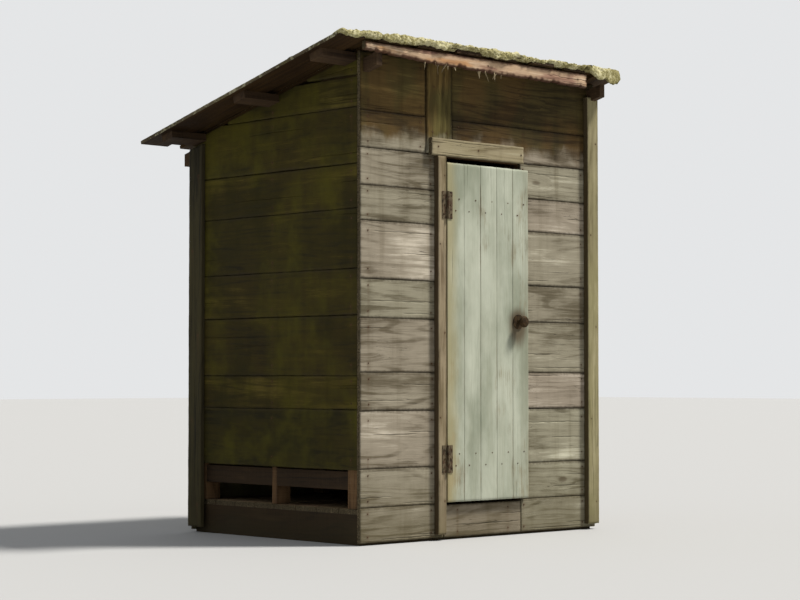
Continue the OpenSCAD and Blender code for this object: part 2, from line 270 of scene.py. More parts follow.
def dress(names, material):
    """Gives frame pieces their material and softens the edges of those of wood."""
    for name in names:
        piece = nodes[name]
        piece.data.materials.clear()
        piece.data.materials.append(material)
        if "knob" in name or "hinge" in name:
            continue
        bevel = piece.modifiers.new("worn edges", "BEVEL")
        bevel.width = 0.0025
        bevel.segments = 2


timber_x = timber_material("timber_across", "x")
timber_z = timber_material("timber_upright", "z")
# Darker tones for the sills, joist and low rail: partly damp wood, partly painted shade under the house
damp_and_shade_tones = ((78, 62, 44), (55, 42, 29), (33, 25, 17))
damp_and_shade_y = timber_material("damp_and_shaded_timber_front_to_back", "y", tones=damp_and_shade_tones)
dress(["sill_front", "sill_back"], timber_material("damp_and_shaded_timber_across", "x", tones=damp_and_shade_tones))
dress(["sill_left", "sill_right", "floor_joist"], damp_and_shade_y)

# Floor boards. Eight worn boards lie across the joist and the sills, nailed down from above,
# with narrow gaps where they have dried. Their ends show at the open foot of the left side.


def wander_line(x, rng, waves, height):
    """A smooth uneven line, the sum of a few long and short waves."""
    total = np.zeros_like(x)
    for wave in waves:
        length = wave * rng.uniform(0.7, 1.4)
        total += np.sin(x * 2 * math.pi / length + rng.uniform(0, 7)) * rng.uniform(0.4, 1.0)
    return total * height / len(waves)


def new_boards():
    """An empty stack of boards, to be joined into one piece."""
    lists = ("co", "uv", "board", "rim", "rust", "quads", "smooth", "caps")
    return {**{label: [] for label in lists}, "count": 0}


def placed(place, *points):
    """Points given in u, v and w as points on the object."""
    return np.array(place(*np.array(points, float).T)).T


def grid_faces(shape):
    """The faces between neighbours on a grid of points."""
    index = np.arange(shape[0] * shape[1]).reshape(shape)
    return np.stack([index[:-1, :-1], index[1:, :-1], index[1:, 1:], index[:-1, 1:]], -1)


nail_places = {"house": [], "door": []}
nail_up = 0.0004
nail_stain, trail_half = 0.009, 0.0065
cell_across = 0.0125
worn_inner, worn_outer = 0.008, 0.0028
end_drop = 0.0015


def add_board(
    stack, place, along, across, thick, seed, face=0.0, wave=0.0012, ragged=0.002, cup=0.001,
    splits=2, split_depth=0.006, nails=(), run=(0, -1), end_at=None, body="house", tone=None, cell=0.011,
    edge=0.0032, lap=(0.0, 0.0),
):
    """One worn board as a closed mesh. It runs along u and lies across v, and w points out of its face.

    place turns arrays of u, v and w into points. along is (start, end) in u, and across is (low, high) in v,
    where each may be a function of u. end_at gives the end in u as a function of v, for a slanting cut.
    lap is how much wider the back is below and above, so that no light passes the joints.
    """
    rng = np.random.default_rng(seed)
    rows = max(4, int(round((along[1] - along[0]) / cell)) + 1)
    u = np.linspace(along[0], along[1], rows)
    edges = [e(u) if callable(e) else np.full(rows, float(e)) for e in across]
    low, high = [e + wander_line(u, rng, (0.9, 0.3, 0.07), wave) for e in edges]
    width = float(np.median(high - low))
    round_in, round_out = worn_inner / width, worn_outer / width
    cells = max(3, int(round(width / cell_across)))
    inner = np.linspace(round_in, 1 - round_in, cells + 1)
    columns = [(np.zeros(rows), edge), (np.full(rows, round_out), 0.2 * edge)]
    chosen = set(rng.choice(cells, min(splits, cells), replace=False).tolist())
    for k in range(cells + 1):
        columns.append((np.full(rows, inner[k]), 0.0))
        if k in chosen:
            middle = (inner[k] + inner[k + 1]) / 2 + wander_line(u, rng, (0.25, 0.08), 0.0022) / width
            origin = rng.choice([along[0], along[1], rng.uniform(*along)])
            reach = rng.uniform(0.08, 0.3)
            open_here = np.clip(1 - np.abs(u - origin) / reach, 0, 1) ** 0.6
            half = (0.0003 + 0.0013 * open_here) / width
            columns += [(middle - half, 0.0), (middle, split_depth * open_here), (middle + half, 0.0)]
    columns += [(np.full(rows, 1 - round_out), 0.2 * edge), (np.ones(rows), edge)]
    t = np.stack([c[0] for c in columns], 1)
    sunk = np.stack([np.broadcast_to(c[1], (rows,)) for c in columns], 1)
    count = t.shape[1]
    v = low[:, None] + t * (high - low)[:, None]
    big_u = np.repeat(u[:, None], count, 1)
    for end, sign in ((0, 1), (1, -1)):
        eaten = ragged * (0.5 + wander_line(t[0], rng, (0.5, 0.17, 0.06), 0.8))
        fade_in = np.clip(1 - np.abs(u - along[end]) / (3 * cell), 0, 1)
        big_u = big_u + sign * fade_in[:, None] * np.clip(eaten, 0, 2.5 * cell)[None, :]
    if end_at is not None:
        big_u = along[0] + (big_u - along[0]) * (end_at(v) - along[0]) / (along[1] - along[0])
    w = face - sunk + cup * rng.uniform(-1, 1) * (1 - (2 * t - 1) ** 2)
    w = w + wander_line(u, rng, (0.7, 0.2), 0.0006)[:, None]
    w[[0, -1]] -= end_drop
    back_u = np.concatenate([big_u[:, 0], big_u[:, -1]])
    back_v = np.concatenate([v[:, 0] - lap[0], v[:, -1] + lap[1]])
    back_w = np.full(2 * rows, face - thick)
    sides = ((big_u, back_u), (v, back_v), (w, back_w))
    points = np.stack(place(*[np.concatenate([front.ravel(), back]) for front, back in sides]), 1)
    shift_u, shift_v = rng.uniform(0, 40), rng.uniform(0, 40)
    uv = np.concatenate([
        np.stack([big_u.ravel(), v.ravel()], 1),
        np.stack([back_u, np.concatenate([v[:, 0] - thick, v[:, -1] + thick])], 1),
    ]) + [shift_u, shift_v]
    to_edge = np.minimum(v - low[:, None], high[:, None] - v)
    to_end = np.minimum(big_u - big_u.min(0), big_u.max(0) - big_u)
    rim = np.concatenate([np.minimum(to_edge, to_end + 0.004).ravel(), np.zeros(2 * rows)])
    rust = np.zeros((rows, count))
    for nail_u, nail_v in nails:
        du, dv = big_u - nail_u, v - nail_v
        below = du * run[0] + dv * run[1]
        beside = du * run[1] - dv * run[0]
        length = rng.uniform(0.03, 0.11)
        trail = np.exp(-np.clip(below, 0, None) / length - (beside / trail_half) ** 2) * (below > 0)
        rust = np.maximum(rust, np.maximum(trail * 0.7, np.exp(-(du ** 2 + dv ** 2) / nail_stain ** 2)))
        top = face + nail_up
        centre, out = placed(place, (nail_u, nail_v, top), (nail_u, nail_v, top + 1))
        nail_places[body].append((centre, out - centre))
    rust = np.concatenate([rust.ravel(), np.zeros(2 * rows)])
    # Faces: the front grid, the two long sides, the back, and the two ends
    base = stack["count"]
    grid = base + np.arange(rows * count).reshape(rows, count)
    back_low = base + rows * count + np.arange(rows)
    back_high = back_low + rows
    front = base + grid_faces((rows, count)).reshape(-1, 4)
    side_low = np.stack([grid[1:, 0], grid[:-1, 0], back_low[:-1], back_low[1:]], -1)
    side_high = np.stack([grid[:-1, -1], grid[1:, -1], back_high[1:], back_high[:-1]], -1)
    back = np.stack([back_low[1:], back_low[:-1], back_high[:-1], back_high[1:]], -1)
    quads = np.concatenate([front, side_low, side_high, back])
    caps = [list(grid[0]) + [back_high[0], back_low[0]], list(grid[-1, ::-1]) + [back_low[-1], back_high[-1]]]
    corner, *steps = placed(place, (0, 0, 0), (1, 0, 0), (0, 1, 0), (0, 0, 1))
    if np.linalg.det(np.stack([s - corner for s in steps])) < 0:
        quads = quads[:, ::-1]
        caps = [c[::-1] for c in caps]
    board_tone = np.full(len(points), rng.uniform(0, 1) if tone is None else tone)
    smooth = np.arange(len(quads)) < len(front)
    for label, value in zip(stack, (points, uv, board_tone, rim, rust, quads, smooth)):
        stack[label].append(value)
    stack["caps"] += caps
    stack["count"] += len(points)


def new_object(name, data):
    """Puts a mesh, a lamp or a camera in the scene."""
    piece = bpy.data.objects.new(name, data)
    bpy.context.scene.collection.objects.link(piece)
    return piece


def join_boards(name, stack, wood, slot, *replaced, body="house", ends=None):
    """Joins a stack of boards into one piece that stands for its frame pieces."""
    quads = np.concatenate(stack["quads"])
    caps = [np.array(c, int) for c in stack["caps"]]
    mesh = bpy.data.meshes.new(name)
    faces = quads.tolist() + [c.tolist() for c in caps]
    mesh.from_pydata(np.concatenate(stack["co"]).tolist(), [], faces)
    uv = np.concatenate(stack["uv"])
    corners = np.concatenate([quads.ravel()] + caps)
    mesh.uv_layers.new(name="grain").data.foreach_set("uv", uv[corners].astype(np.float32).ravel())
    for label in ("board", "rim", "rust"):
        numbers = mesh.attributes.new(label, "FLOAT", "POINT")
        numbers.data.foreach_set("value", np.concatenate(stack[label]).astype(np.float32))
    is_cap = np.arange(len(mesh.polygons)) >= len(quads)
    smooth = np.concatenate(stack["smooth"] + [np.zeros(len(caps), bool)])
    mesh.polygons.foreach_set("use_smooth", smooth)
    mesh.materials.append(wood)
    mesh.materials.append(ends or end_grain)
    mesh.polygons.foreach_set("material_index", is_cap.astype(int))
    mesh.update()
    piece = new_object(name, mesh)
    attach(piece, body)
    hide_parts(*replaced)


def make_stain_group():
    """Age on a boarded face: dirt in the joints, rain runs, damp at the foot and rust by the nails."""
    given = new_group(
        "stains",
        {
            "Color": shade(150, 140, 120), "Place": (0.0, 0.0, 0.0), "Rim": 0.05, "Rust": 0.0,
            "Joints": 1.0, "Runs": 0.5, "Foot": 0.5,
        },
        {"Color": "Color"},
    )
    place, colour = given["Place"], given["Color"]
    rough_edge = cloud(place, 55.0, 3.0) * 0.016 + given["Rim"]
    dirt = fade(rough_edge, 0.006, 0.024, 1.0, 0.0) * given["Joints"]
    colour = mix(dirt * 0.75, colour, shade(58, 50, 36))
    rain = fade(cloud(place, (13.0, 13.0, 0.9), 4.0, 0.55), 0.5, 0.85) * given["Runs"]
    colour = mix(rain, colour, shade(176, 168, 148), "MULTIPLY")
    level = part(place, "Z") - cloud(place, (6.0, 6.0, 9.0), 4.0, 0.6) * 0.5
    wet = fade(level, -0.25, 0.22, 1.0, 0.0) * given["Foot"]
    colour = mix(wet * 0.8, colour, shade(84, 76, 50))
    colour = mix(given["Rust"] * 0.5, colour, shade(86, 62, 42))
    add_node(given.tree, "NodeGroupOutput", Color=colour)
    return given.tree


stain_group = make_stain_group()


def kept(tree, name):
    """A number kept on the piece's own mesh."""
    return add_node(tree, "ShaderNodeAttribute", {"attribute_name": name})["Fac"]


def grain_of(tree):
    """The point on a board as it was sawn, with its first number along the fibres."""
    return add_node(tree, "ShaderNodeUVMap", {"uv_map": "grain"})


def board_material(
    name, tones, joints=1.0, runs=0.5, foot=0.5, knots=1.0, checks=1.0, over=None, bump=0.7,
):
    """Weathered boards. over may lay something more on the colour and height before the surface is closed."""
    material, place = new_material(name)
    tree = place.tree
    wood = use_group(
        tree, wood_group, Grain=grain_of(tree), Board=kept(tree, "board"), Knots=knots, Checks=checks,
        **three_shades(tones))
    colour = use_group(
        tree, stain_group, Color=wood["Color"], Place=place, Rim=kept(tree, "rim"), Rust=kept(tree, "rust"),
        Joints=joints, Runs=runs, Foot=foot)
    height = wood["Height"]
    rough = fade(wood["Tone"], 0.2, 0.9, 0.78, 0.93)
    if over is not None:
        colour, height, rough = over(place, colour, height, rough)
    close_material(colour, height, rough, bump)
    return material


def make_end_grain(name, dark, light):
    """Cut ends of boards: darker, dried open, with the year rings as curved lines."""
    material, place = new_material(name)
    rings = calc("SINE", cloud(place, 8.0, 0.0) * 300.0)
    dirt = cloud(place, 120.0, 3.0)
    colour = mix(fade(rings, -0.8, 0.9, 0.15, 0.75), dark, light)
    colour = mix(fade(dirt, 0.4, 0.65, 0.0, 0.6), colour, shade(48, 42, 30))
    close_material(colour, dirt * 1.2 + rings, 0.9)
    return material


end_grain = make_end_grain("end_grain", shade(78, 68, 49), shade(120, 107, 82))

floor_low, floor_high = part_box("floor")
floor_count = 8
floor_thick = 0.027
floor_joint = 0.002
floor_step = (floor_high.y - floor_low.y) / floor_count
floor_stack = new_boards()
for i in range(floor_count):
    y0 = floor_low.y + i * floor_step
    add_board(
        floor_stack, lambda u, v, w: (u, v, floor_high.z + w), (floor_low.x + 0.001, floor_high.x - 0.001),
        (y0 + floor_joint, y0 + floor_step - floor_joint), floor_thick, 300 + i,
        face=-0.001, cup=0.0015, run=(0, 0),
        nails=[(x, y0 + d * floor_step) for x in (-0.7, 0.0, 0.7) for d in (0.25, 0.75)],
    )
floor_wood = board_material(
    "floor_wood", ((158, 138, 108), (122, 102, 76), (76, 60, 42)), joints=0.8, runs=0.0, foot=0.0)
join_boards("floor_planks", floor_stack, floor_wood, "floor_boards", "floor")

# Posts, studs, rails and plates. Square corner posts and flat studs stand on the floor and carry
# a plate at the front and at the back, all of sawn softwood, nailed, and never painted.

dress(
    ["post_front_left", "post_front_right", "post_back_left", "post_back_right", "stud_left",
     "stud_right", "stud_back", "door_stud_left", "door_stud_right"], timber_z)
dress(["plate_front", "plate_back", "door_header"], timber_x)
dress(["low_rail_left"], damp_and_shade_y)

# Roof frame. Two rafters run down the slope on the plates, with their tails out past the walls,
# and three flat purlins lie across them to carry the roof boards.

# Dark tones for the rafters and purlins: partly weathered wood, partly painted shade under the roof
eaves_shade_tones = ((98, 78, 56), (68, 52, 37), (40, 29, 21))
dress(["rafters"], timber_material("rafter_timber", "y", tones=eaves_shade_tones))
dress(["purlins"], timber_material("purlin_timber", "x", tones=eaves_shade_tones))

# Front siding. Bare sawn boards in two widths, taken in turn, nailed across the corner posts and
# the studs. Sun and rain have turned them grey. A short upright board fills in over the casing.

front_low, front_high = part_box("wall_front_left")
front_y, foot_z = front_low.y, front_low.z
doorway_left, front_top = front_high.x, front_high.z
doorway_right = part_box("wall_front_right")[0].x
left_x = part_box("wall_left")[0].x
right_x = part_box("wall_right")[1].x
back_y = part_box("wall_back")[1].y
board_gap = 0.0022
board_lap = 0.0035
siding_thick = 0.0205
edge_in = 0.0015
end_in = 0.001
set_back = 0.001
nail_shares = (0.17, 0.83)
nail_jog = 0.004


def on_wall(direction, face, out):
    """How boards lie on a wall: u runs along it in x or y, v up it, and w out from its face."""
    if direction == "x":
        return lambda u, v, w: (u, face + out * w, v)
    return lambda u, v, w: (face + out * w, u, v)


def laps(i, levels):
    """How far the back of board i reaches under its neighbours, below and above."""
    return (board_lap if i else 0.0, board_lap if i + 2 < len(levels) else 0.0)


def lay_siding(stack, place, along, levels, seed, nail_lines, gaps=None, tones=None):
    """Lays boards one over the other between the levels of their joints."""
    under = board_gap * 0.5
    for i in range(len(levels) - 1):
        low, high = levels[i], levels[i + 1]
        gap = (gaps or {}).get(i + 1, board_gap)
        upper = high - gap + under if i + 2 < len(levels) else high
        nails = [
            (line + nail_jog * math.sin(7 * i + line), low + (high - low) * d)
            for line in nail_lines if along[0] < line < along[1] for d in nail_shares]
        add_board(
            stack, place, along, (low + under, upper), siding_thick, seed + i,
            face=-set_back - 0.0012 * ((i * 7) % 3), wave=0.0016, nails=nails,
            tone=None if tones is None else tones[i], lap=laps(i, levels),
        )


on_front = on_wall("x", front_y, -1)
front_stack = new_boards()
door_line, roof_line = 1.957, front_top - 0.002
over_door = [door_line, 2.142, roof_line]
front_levels = [foot_z, 0.184, 0.373, 0.659, 0.848, 1.117, 1.311, 1.597, 1.772, door_line]
patch_left, patch_right = left_x + 0.452, left_x + 0.632
beside_door = doorway_right + 0.022
left_end, right_end = left_x + edge_in, right_x - edge_in
first_nail, last_nail = left_x + 0.055, right_x - 0.055
for start, end, levels, seed, nail_lines, tones in (
    (left_end, doorway_left - end_in, front_levels, 400, (first_nail, doorway_left - 0.085), None),
    (doorway_right + end_in, right_end, front_levels, 430, (beside_door, right_x - 0.11), None),
    (left_end, patch_left - 0.003, over_door, 460, (first_nail, patch_left - 0.04), (0.35, 0.5)),
    (patch_right + 0.002, right_end, over_door, 470, (patch_right + 0.05, beside_door, last_nail),
     (0.3, 0.2)),
    (doorway_left + end_in, doorway_right - end_in, [foot_z, floor_high.z - 0.001], 480,
     (doorway_left + 0.1, doorway_right - 0.1), None),
):
    lay_siding(front_stack, on_front, (start, end), levels, seed, nail_lines, tones=tones)
add_board(
    front_stack, lambda u, v, w: on_front(v, u, w), (door_line + 0.002, roof_line),
    (patch_left, patch_right), siding_thick, 490, face=0.0035, tone=0.95, run=(-1, 0),
    nails=[(2.07, patch_left + 0.04), (2.07, patch_right - 0.04), (2.3, patch_left + 0.05)],
)


def eaves_brown_and_shadow(place, colour, height, rough):
    """Under the roof's edge the boards are multiplied to a darker brown: partly old brown that sun and rain
    have not bleached, partly painted shadow of the eaves.
    """
    level = cloud(place, (9.0, 9.0, 5.0), 4.0, 0.6) * 0.2 + part(place, "Z")
    patches = fade(cloud(place, (5.0, 5.0, 3.0)), 0.4, 0.62)
    brown = mix(patches, shade(146, 118, 62), shade(124, 112, 55))
    # Painted eaves shadow and kept brown: a darker brown multiplied over the boards above about two metres
    return mix(fade(level, 2.07, 2.17, 0.0, 0.95), colour, brown, "MULTIPLY"), height, rough


front_wood = board_material(
    "front_wood", ((211, 205, 187), (148, 141, 124), (95, 87, 70)), runs=0.6, foot=0.6, over=eaves_brown_and_shadow)
join_boards(
    "siding_front", front_stack, front_wood, "weathered_siding",
    "wall_front_left", "wall_front_right", "wall_over_door", "wall_under_door")

# Left siding. The same boards on the side away from the lamp, filmed with green algae; their much darker
# tones are mostly painted shade.
# The two lowest boards are gone, so the rail, the post and the floor's edge stand open there.

roof_low, roof_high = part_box("roof_boards_lower")
layer_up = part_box("roof_boards_upper")[0].z - roof_low.z
fall = (roof_high.z - roof_low.z - layer_up) / (roof_high.y - roof_low.y)
corner_in = 0.0225
nail_in = 0.045
shortest = 0.05
nail_from_roof = 0.03
roof_seat = 0.002


def deck_at(y):
    """Height of the underside of the roof boards."""
    return roof_low.z + (roof_high.y - y) * fall


def make_film_group():
    """Green algae that grows where a wall stays damp, thicker in patches and down the runs."""
    given = new_group(
        "algae film",
        {"Color": shade(120, 110, 90), "Place": (0.0, 0.0, 0.0), "Film": shade(84, 86, 40), "Amount": 0.5},
        {"Color": "Color"},
    )
    patches = cloud(given["Place"], (3.2, 3.2, 2.2), 5.0, 0.65)
    runs = cloud(given["Place"], (14.0, 14.0, 2.4), 3.0, 0.6)
    cover = fade(runs * 0.3 + patches, 0.4, 0.86) * given["Amount"]
    add_node(given.tree, "NodeGroupOutput", Color=mix(cover, given["Color"], given["Film"]))
    return given.tree


film_group = make_film_group()


def left_film_and_shade(place, colour, height, rough):
    """The algae film of the side away from the lamp, in a darker and a lighter green, made dark as painted
    shade.
    """
    lighter = fade(cloud(place, (2.3, 2.3, 3.1), 4.0, 0.6), 0.42, 0.62)
    green = mix(lighter, shade(40, 37, 9), shade(80, 75, 18))
    film = use_group(place.tree, film_group, Color=colour, Place=place, Film=green, Amount=0.75)
    return film, height, rough


def lay_side(stack, place, levels, seed, gaps):
    """Lays the boards of one side, with the upper ones cut to the slope of the roof."""
    y0, y1 = front_y + corner_in, back_y - corner_in
    lines = (y0 + nail_in, (y0 + y1) / 2, y1 - nail_in)
    for i in range(len(levels) - 1):
        low, high = levels[i] + 0.001, levels[i + 1]
        gap = gaps.get(i + 1, board_gap)
        reach = min(y1, roof_high.y - (low + 0.012 - roof_low.z) / fall)
        if reach < y0 + shortest:
            continue
        nails = [(line, low + (high - low) * d) for line in lines for d in nail_shares
                 if line < reach and low + (high - low) * d < deck_at(line) - nail_from_roof]
        add_board(
            stack, place, (y0, reach), (low, lambda u: np.minimum(high - gap, deck_at(u) - roof_seat)),
            siding_thick, seed + i, face=-set_back - 0.0015 * ((i * 5) % 3), wave=0.002, ragged=0.003,
            nails=nails, lap=laps(i, levels),
        )


left_levels = [0.367, 0.665, 0.833, 1.133, 1.361, 1.659, 1.881, 2.16, 2.32, 2.45]
left_stack = new_boards()
lay_side(left_stack, on_wall("y", left_x, -1), left_levels, 500, {3: 0.004, 6: 0.005, 8: 0.011})
# Tones far darker than the other walls: painted shade on the side away from the lamp
left_wood_painted_shade = board_material(
    "left_wood_painted_shade", ((100, 88, 42), (57, 49, 19), (30, 25, 9)), foot=0.2, joints=0.8, over=left_film_and_shade)
join_boards("siding_left", left_stack, left_wood_painted_shade, "shaded_siding", "wall_left")

# Right siding and back siding. The same two widths of board, complete down to the foot. The
# back keeps more damp than the right side, so a little green film lies on it.


def even_film(green, amount):
    """Makes a layer of one green, to go over boards."""

    def lay(place, colour, height, rough):
        film = use_group(place.tree, film_group, Color=colour, Place=place, Film=shade(*green), Amount=amount)
        return film, height, rough

    return lay


right_levels = [foot_z, 0.298, 0.482, 0.768, 0.952, 1.238, 1.422, 1.708, 1.892, 2.178, 2.364, 2.45]
right_stack = new_boards()
lay_side(right_stack, on_wall("y", right_x, 1), right_levels, 540, {4: 0.004, 9: 0.006})
right_wood = board_material(
    "right_wood", ((182, 172, 148), (142, 131, 107), (96, 84, 61)), runs=0.6, foot=0.6)
join_boards("siding_right", right_stack, right_wood, "weathered_siding", "wall_right")

back_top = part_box("wall_back")[1].z
back_levels = [foot_z, 0.196, 0.482, 0.666, 0.952, 1.136, 1.422, 1.606, 1.892, back_top - 0.008]
back_stack = new_boards()
lay_siding(
    back_stack, on_wall("x", back_y, 1), (left_end, right_end), back_levels, 560,
    (left_x + 0.06, 0.0, right_x - 0.06), gaps={5: 0.005})
back_wood = board_material(
    "back_wood", ((164, 156, 130), (126, 118, 92), (82, 74, 51)), runs=0.6, foot=0.7,
    over=even_film((98, 98, 54), 0.5))
join_boards("siding_back", back_stack, back_wood, "weathered_siding", "wall_back")

# Trim. A casing stands left of the door, a head board lies over it, and one board covers the
# right corner, all nailed over the siding. Dark boards cover both back corners, their dark tones
# partly weathered wood and partly painted shade.

trim_in = 0.0005


def lay_upright(stack, box, seed, tone, nail_off, nail_heights):
    """One upright board in front of the siding, nailed on one side of its middle and the other in turn."""
    low, high = box
    middle = (low.x + high.x) / 2
    add_board(
        stack, lambda u, v, w: (v, low.y - w, u), (low.z, high.z), (low.x + trim_in, high.x - trim_in),
        high.y - low.y - trim_in, seed, face=-trim_in, tone=tone, run=(-1, 0), ragged=0.003,
        nails=[(z, middle + nail_off * (1 - 2 * (i % 2))) for i, z in enumerate(nail_heights)])


trim_stack = new_boards()
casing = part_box("door_casing")
lay_upright(trim_stack, casing, 600, 0.32, 0.016, (0.2, 0.62, 1.05, 1.5, 1.85))
head_low, head_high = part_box("head_board")
add_board(
    trim_stack, on_wall("x", head_low.y, -1), (head_low.x + 0.002, head_high.x - 0.002),
    (head_low.z + 0.001, head_high.z - 0.001), head_high.y - head_low.y - trim_in, 604, face=-trim_in,
    tone=0.52, ragged=0.006, splits=3, wave=0.0018,
    nails=[(head_low.x + d, head_low.z + 0.045) for d in (0.05, 0.34, 0.66)])
corner_stack = new_boards()
lay_upright(corner_stack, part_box("corner_trim_front"), 608, 0.7, 0.02, (0.15, 0.6, 1.1, 1.6, 2.1))


def facing_of(tree):
    """The way that the surface faces."""
    return add_node(tree, "ShaderNodeNewGeometry")["Normal"]


def trim_film_and_side_shade(green, amount):
    """Makes a layer of algae, with painted shade on the narrow sides of the trim."""

    def lay(place, colour, height, rough):
        film = even_film(green, amount)(place, colour, height, rough)[0]
        # Painted shade: the narrow sides, facing left and right, are darkened to stand in for their shade
        side = fade(calc("ABSOLUTE", part(facing_of(place.tree), "X")), 0.5, 0.85, 0.0, 0.8)
        return mix(side, film, shade(56, 42, 25)), height, rough

    return lay


trim_wood = board_material(
    "trim_wood", ((196, 185, 162), (158, 145, 121), (104, 90, 68)), joints=0.5, runs=0.4, foot=0.8,
    over=trim_film_and_side_shade((124, 116, 74), 0.25))
join_boards("door_trim", trim_stack, trim_wood, "trim_boards", "door_casing", "head_board")
corner_wood = board_material(
    "corner_wood", ((192, 185, 154), (142, 136, 104), (88, 80, 54)), joints=0.5, runs=0.4, foot=0.8,
    over=trim_film_and_side_shade((136, 131, 90), 0.5))
join_boards("corner_trim", corner_stack, corner_wood, "trim_boards", "corner_trim_front")

dark_low, dark_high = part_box("corner_boards_back")
dark_thick = left_x - dark_low.x
dark_drop = deck_at(dark_low.y) - dark_high.z
dark_stack = new_boards()
for side, wall in ((-1, left_x), (1, right_x)):
    outer = wall + side * dark_thick
    add_board(
        dark_stack, lambda u, v, w: (outer + side * w, v, u), (dark_low.z, dark_high.z),
        (dark_low.y + trim_in, dark_high.y - 0.001), dark_thick - trim_in, 620 + (side > 0), face=-0.0008,
        tone=0.4, run=(-1, 0), ragged=0.004, end_at=lambda v: deck_at(v) - dark_drop - 0.001,
        nails=[(z, dark_low.y + 0.03 + 0.05 * (i % 2)) for i, z in enumerate((0.15, 0.6, 1.05, 1.5, 1.9))])
# Dark tones for the back corner boards: partly painted shade of the back corners
dark_shaded_wood = board_material("dark_shaded_wood", ((92, 84, 58), (66, 60, 40), (38, 34, 22)), joints=0.5, runs=0.4)
join_boards("back_corner_trim", dark_stack, dark_shaded_wood, "dark_trim", "corner_boards_back")

# Fascia. One board hangs under the ends of the roof boards and deepens to the right. Its grey
# has a reddish cast, and its lower edge is worn away and splintered into hanging slivers.

fascia_low, fascia_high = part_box("fascia_front")
fascia_corners = [(round(v.co.x, 4), round(v.co.z, 4)) for v in nodes["fascia_front"].data.vertices]
fascia_turns = sorted(set(x for x, z in fascia_corners))
fascia_levels = [min(z for x, z in fascia_corners if x == turn) for turn in fascia_turns]


def fascia_edge(u):
    """The worn lower edge."""
    bite = wander_line(u, np.random.default_rng(77), (0.5, 0.19, 0.08, 0.035), 0.02)
    return np.interp(u, fascia_turns, fascia_levels) + 0.002 + np.clip(bite, 0, 0.016)


fascia_stack = new_boards()
add_board(
    fascia_stack, on_wall("x", fascia_low.y, -1), (fascia_low.x + 0.003, fascia_high.x - 0.003),
    (fascia_edge, fascia_high.z - 0.001), fascia_high.y - fascia_low.y - 0.001, 640, face=-0.0022,
    ragged=0.012, splits=5, split_depth=0.01, tone=0.6, cell=0.007, edge=0.006,
    nails=[(fascia_low.x + d, fascia_high.z - 0.035) for d in (0.08, 0.09, 0.86, 1.55)])


def fascia_cast_and_edge_shade(place, colour, height, rough):
    """The grey turns warm or cool along the board, and its edges are painted dark reddish brown: partly rot,
    partly painted shade under the moss and along the lower edge.
    """
    along = cloud(place, (2.6, 2.6, 14.0), 4.0, 0.6)
    colour = mix(fade(along, 0.36, 0.5, 1.0, 0.0), colour, shade(255, 230, 202), "MULTIPLY")
    colour = mix(fade(along, 0.5, 0.64), colour, shade(206, 190, 196), "MULTIPLY")
    # Painted shade and rot: a dark reddish brown along the board's edges
    edge = kept(place.tree, "rim") - cloud(place, (20.0, 20.0, 60.0), 4.0, 0.6) * 0.03
    return mix(fade(edge, -0.012, 0.004, 0.85, 0.0), colour, shade(66, 38, 26)), height, rough


fascia_wood = board_material(
    "fascia_wood", ((244, 228, 202), (188, 162, 134), (98, 70, 50)), joints=0.6, runs=0.2, foot=0.0,
    over=fascia_cast_and_edge_shade, bump=0.9)
join_boards("fascia_board", fascia_stack, fascia_wood, "fascia", "fascia_front")

# Roof boards. Eight boards run down the slope, and seven narrower ones cover their joints. Their
# ends were never trimmed true. Lichen and moss have eaten into every face that the sky sees.

pitch = math.atan(fall)
board_up = layer_up * math.cos(pitch)
slope_length = (roof_high.y - roof_low.y) / math.cos(pitch)
roof_thick = 0.019
lower_face = -(board_up - roof_thick)
upper_face = lower_face + roof_thick + 0.0004


def on_roof(u, v, w):
    """u runs down the slope from the front edge, v across it, and w up from the top of the lower boards."""
    y = roof_low.y + u * math.cos(pitch) + w * math.sin(pitch)
    return v, y, roof_high.z - u * math.sin(pitch) + w * math.cos(pitch)


def ranges_of(node):
    """The least and greatest x of each board in a frame piece that holds several."""
    xs = sorted(set(round(v.co.x, 5) for v in nodes[node].data.vertices))
    return list(zip(xs[::2], xs[1::2]))


def lichen_over(place, colour, height, rough):
    """Crusts of pale lichen and a thin growth of moss, on what the sky sees and on the two outer edges.

    The undersides and the sides in the joints are darkened to brown: partly unweathered wood, partly painted
    shade.
    """
    upward = part(facing_of(place.tree), "Z")
    outermost = fade(calc("ABSOLUTE", part(place, "X")), roof_high.x - 0.05, roof_high.x - 0.02)
    open_air = calc("MAXIMUM", outermost * fade(upward, -0.6, 0.0), fade(upward, 0.15, 0.6))
    # Painted shade and unweathered brown: faces turned away from the sky are multiplied darker
    colour = mix(1.0 - open_air, colour, shade(158, 128, 90), "MULTIPLY")
    fine = cloud(place, 190.0, 3.0, 0.6)
    grit = fade(fine, 0.35, 0.65)
    crust = fade(cloud(place, 3.2, 3.0) * 0.55 + cloud(place, 30.0, 5.0, 0.65), 0.8, 0.87) * open_air
    colour = mix(crust * 0.8, colour, mix(grit, shade(140, 136, 104), shade(188, 182, 152)))
    moss = fade(cloud(place, 7.0, 5.0, 0.7), 0.5, 0.66) * open_air
    colour = mix(moss * 0.75, colour, mix(grit, shade(64, 60, 32), shade(110, 102, 62)))
    return colour, height + calc("MAXIMUM", crust, moss) * (fine * 1.6 + 0.5), rough


cover_boards = ranges_of("roof_boards_upper")
roof_wood = board_material(
    "roof_wood", ((158, 150, 126), (118, 109, 86), (76, 66, 48)), joints=0.4, runs=0.0, foot=0.0,
    over=lichen_over, bump=0.9)
# Darker end grain for the roof boards' front ends: partly painted shade under the moss mat
shaded_dark_ends = make_end_grain("dark_shaded_end_grain", shade(46, 34, 22), shade(78, 58, 38))
roof_rng = np.random.default_rng(21)
nail_rows = (0.17, slope_length / 2, slope_length - 0.2)
nail_edge = 0.03


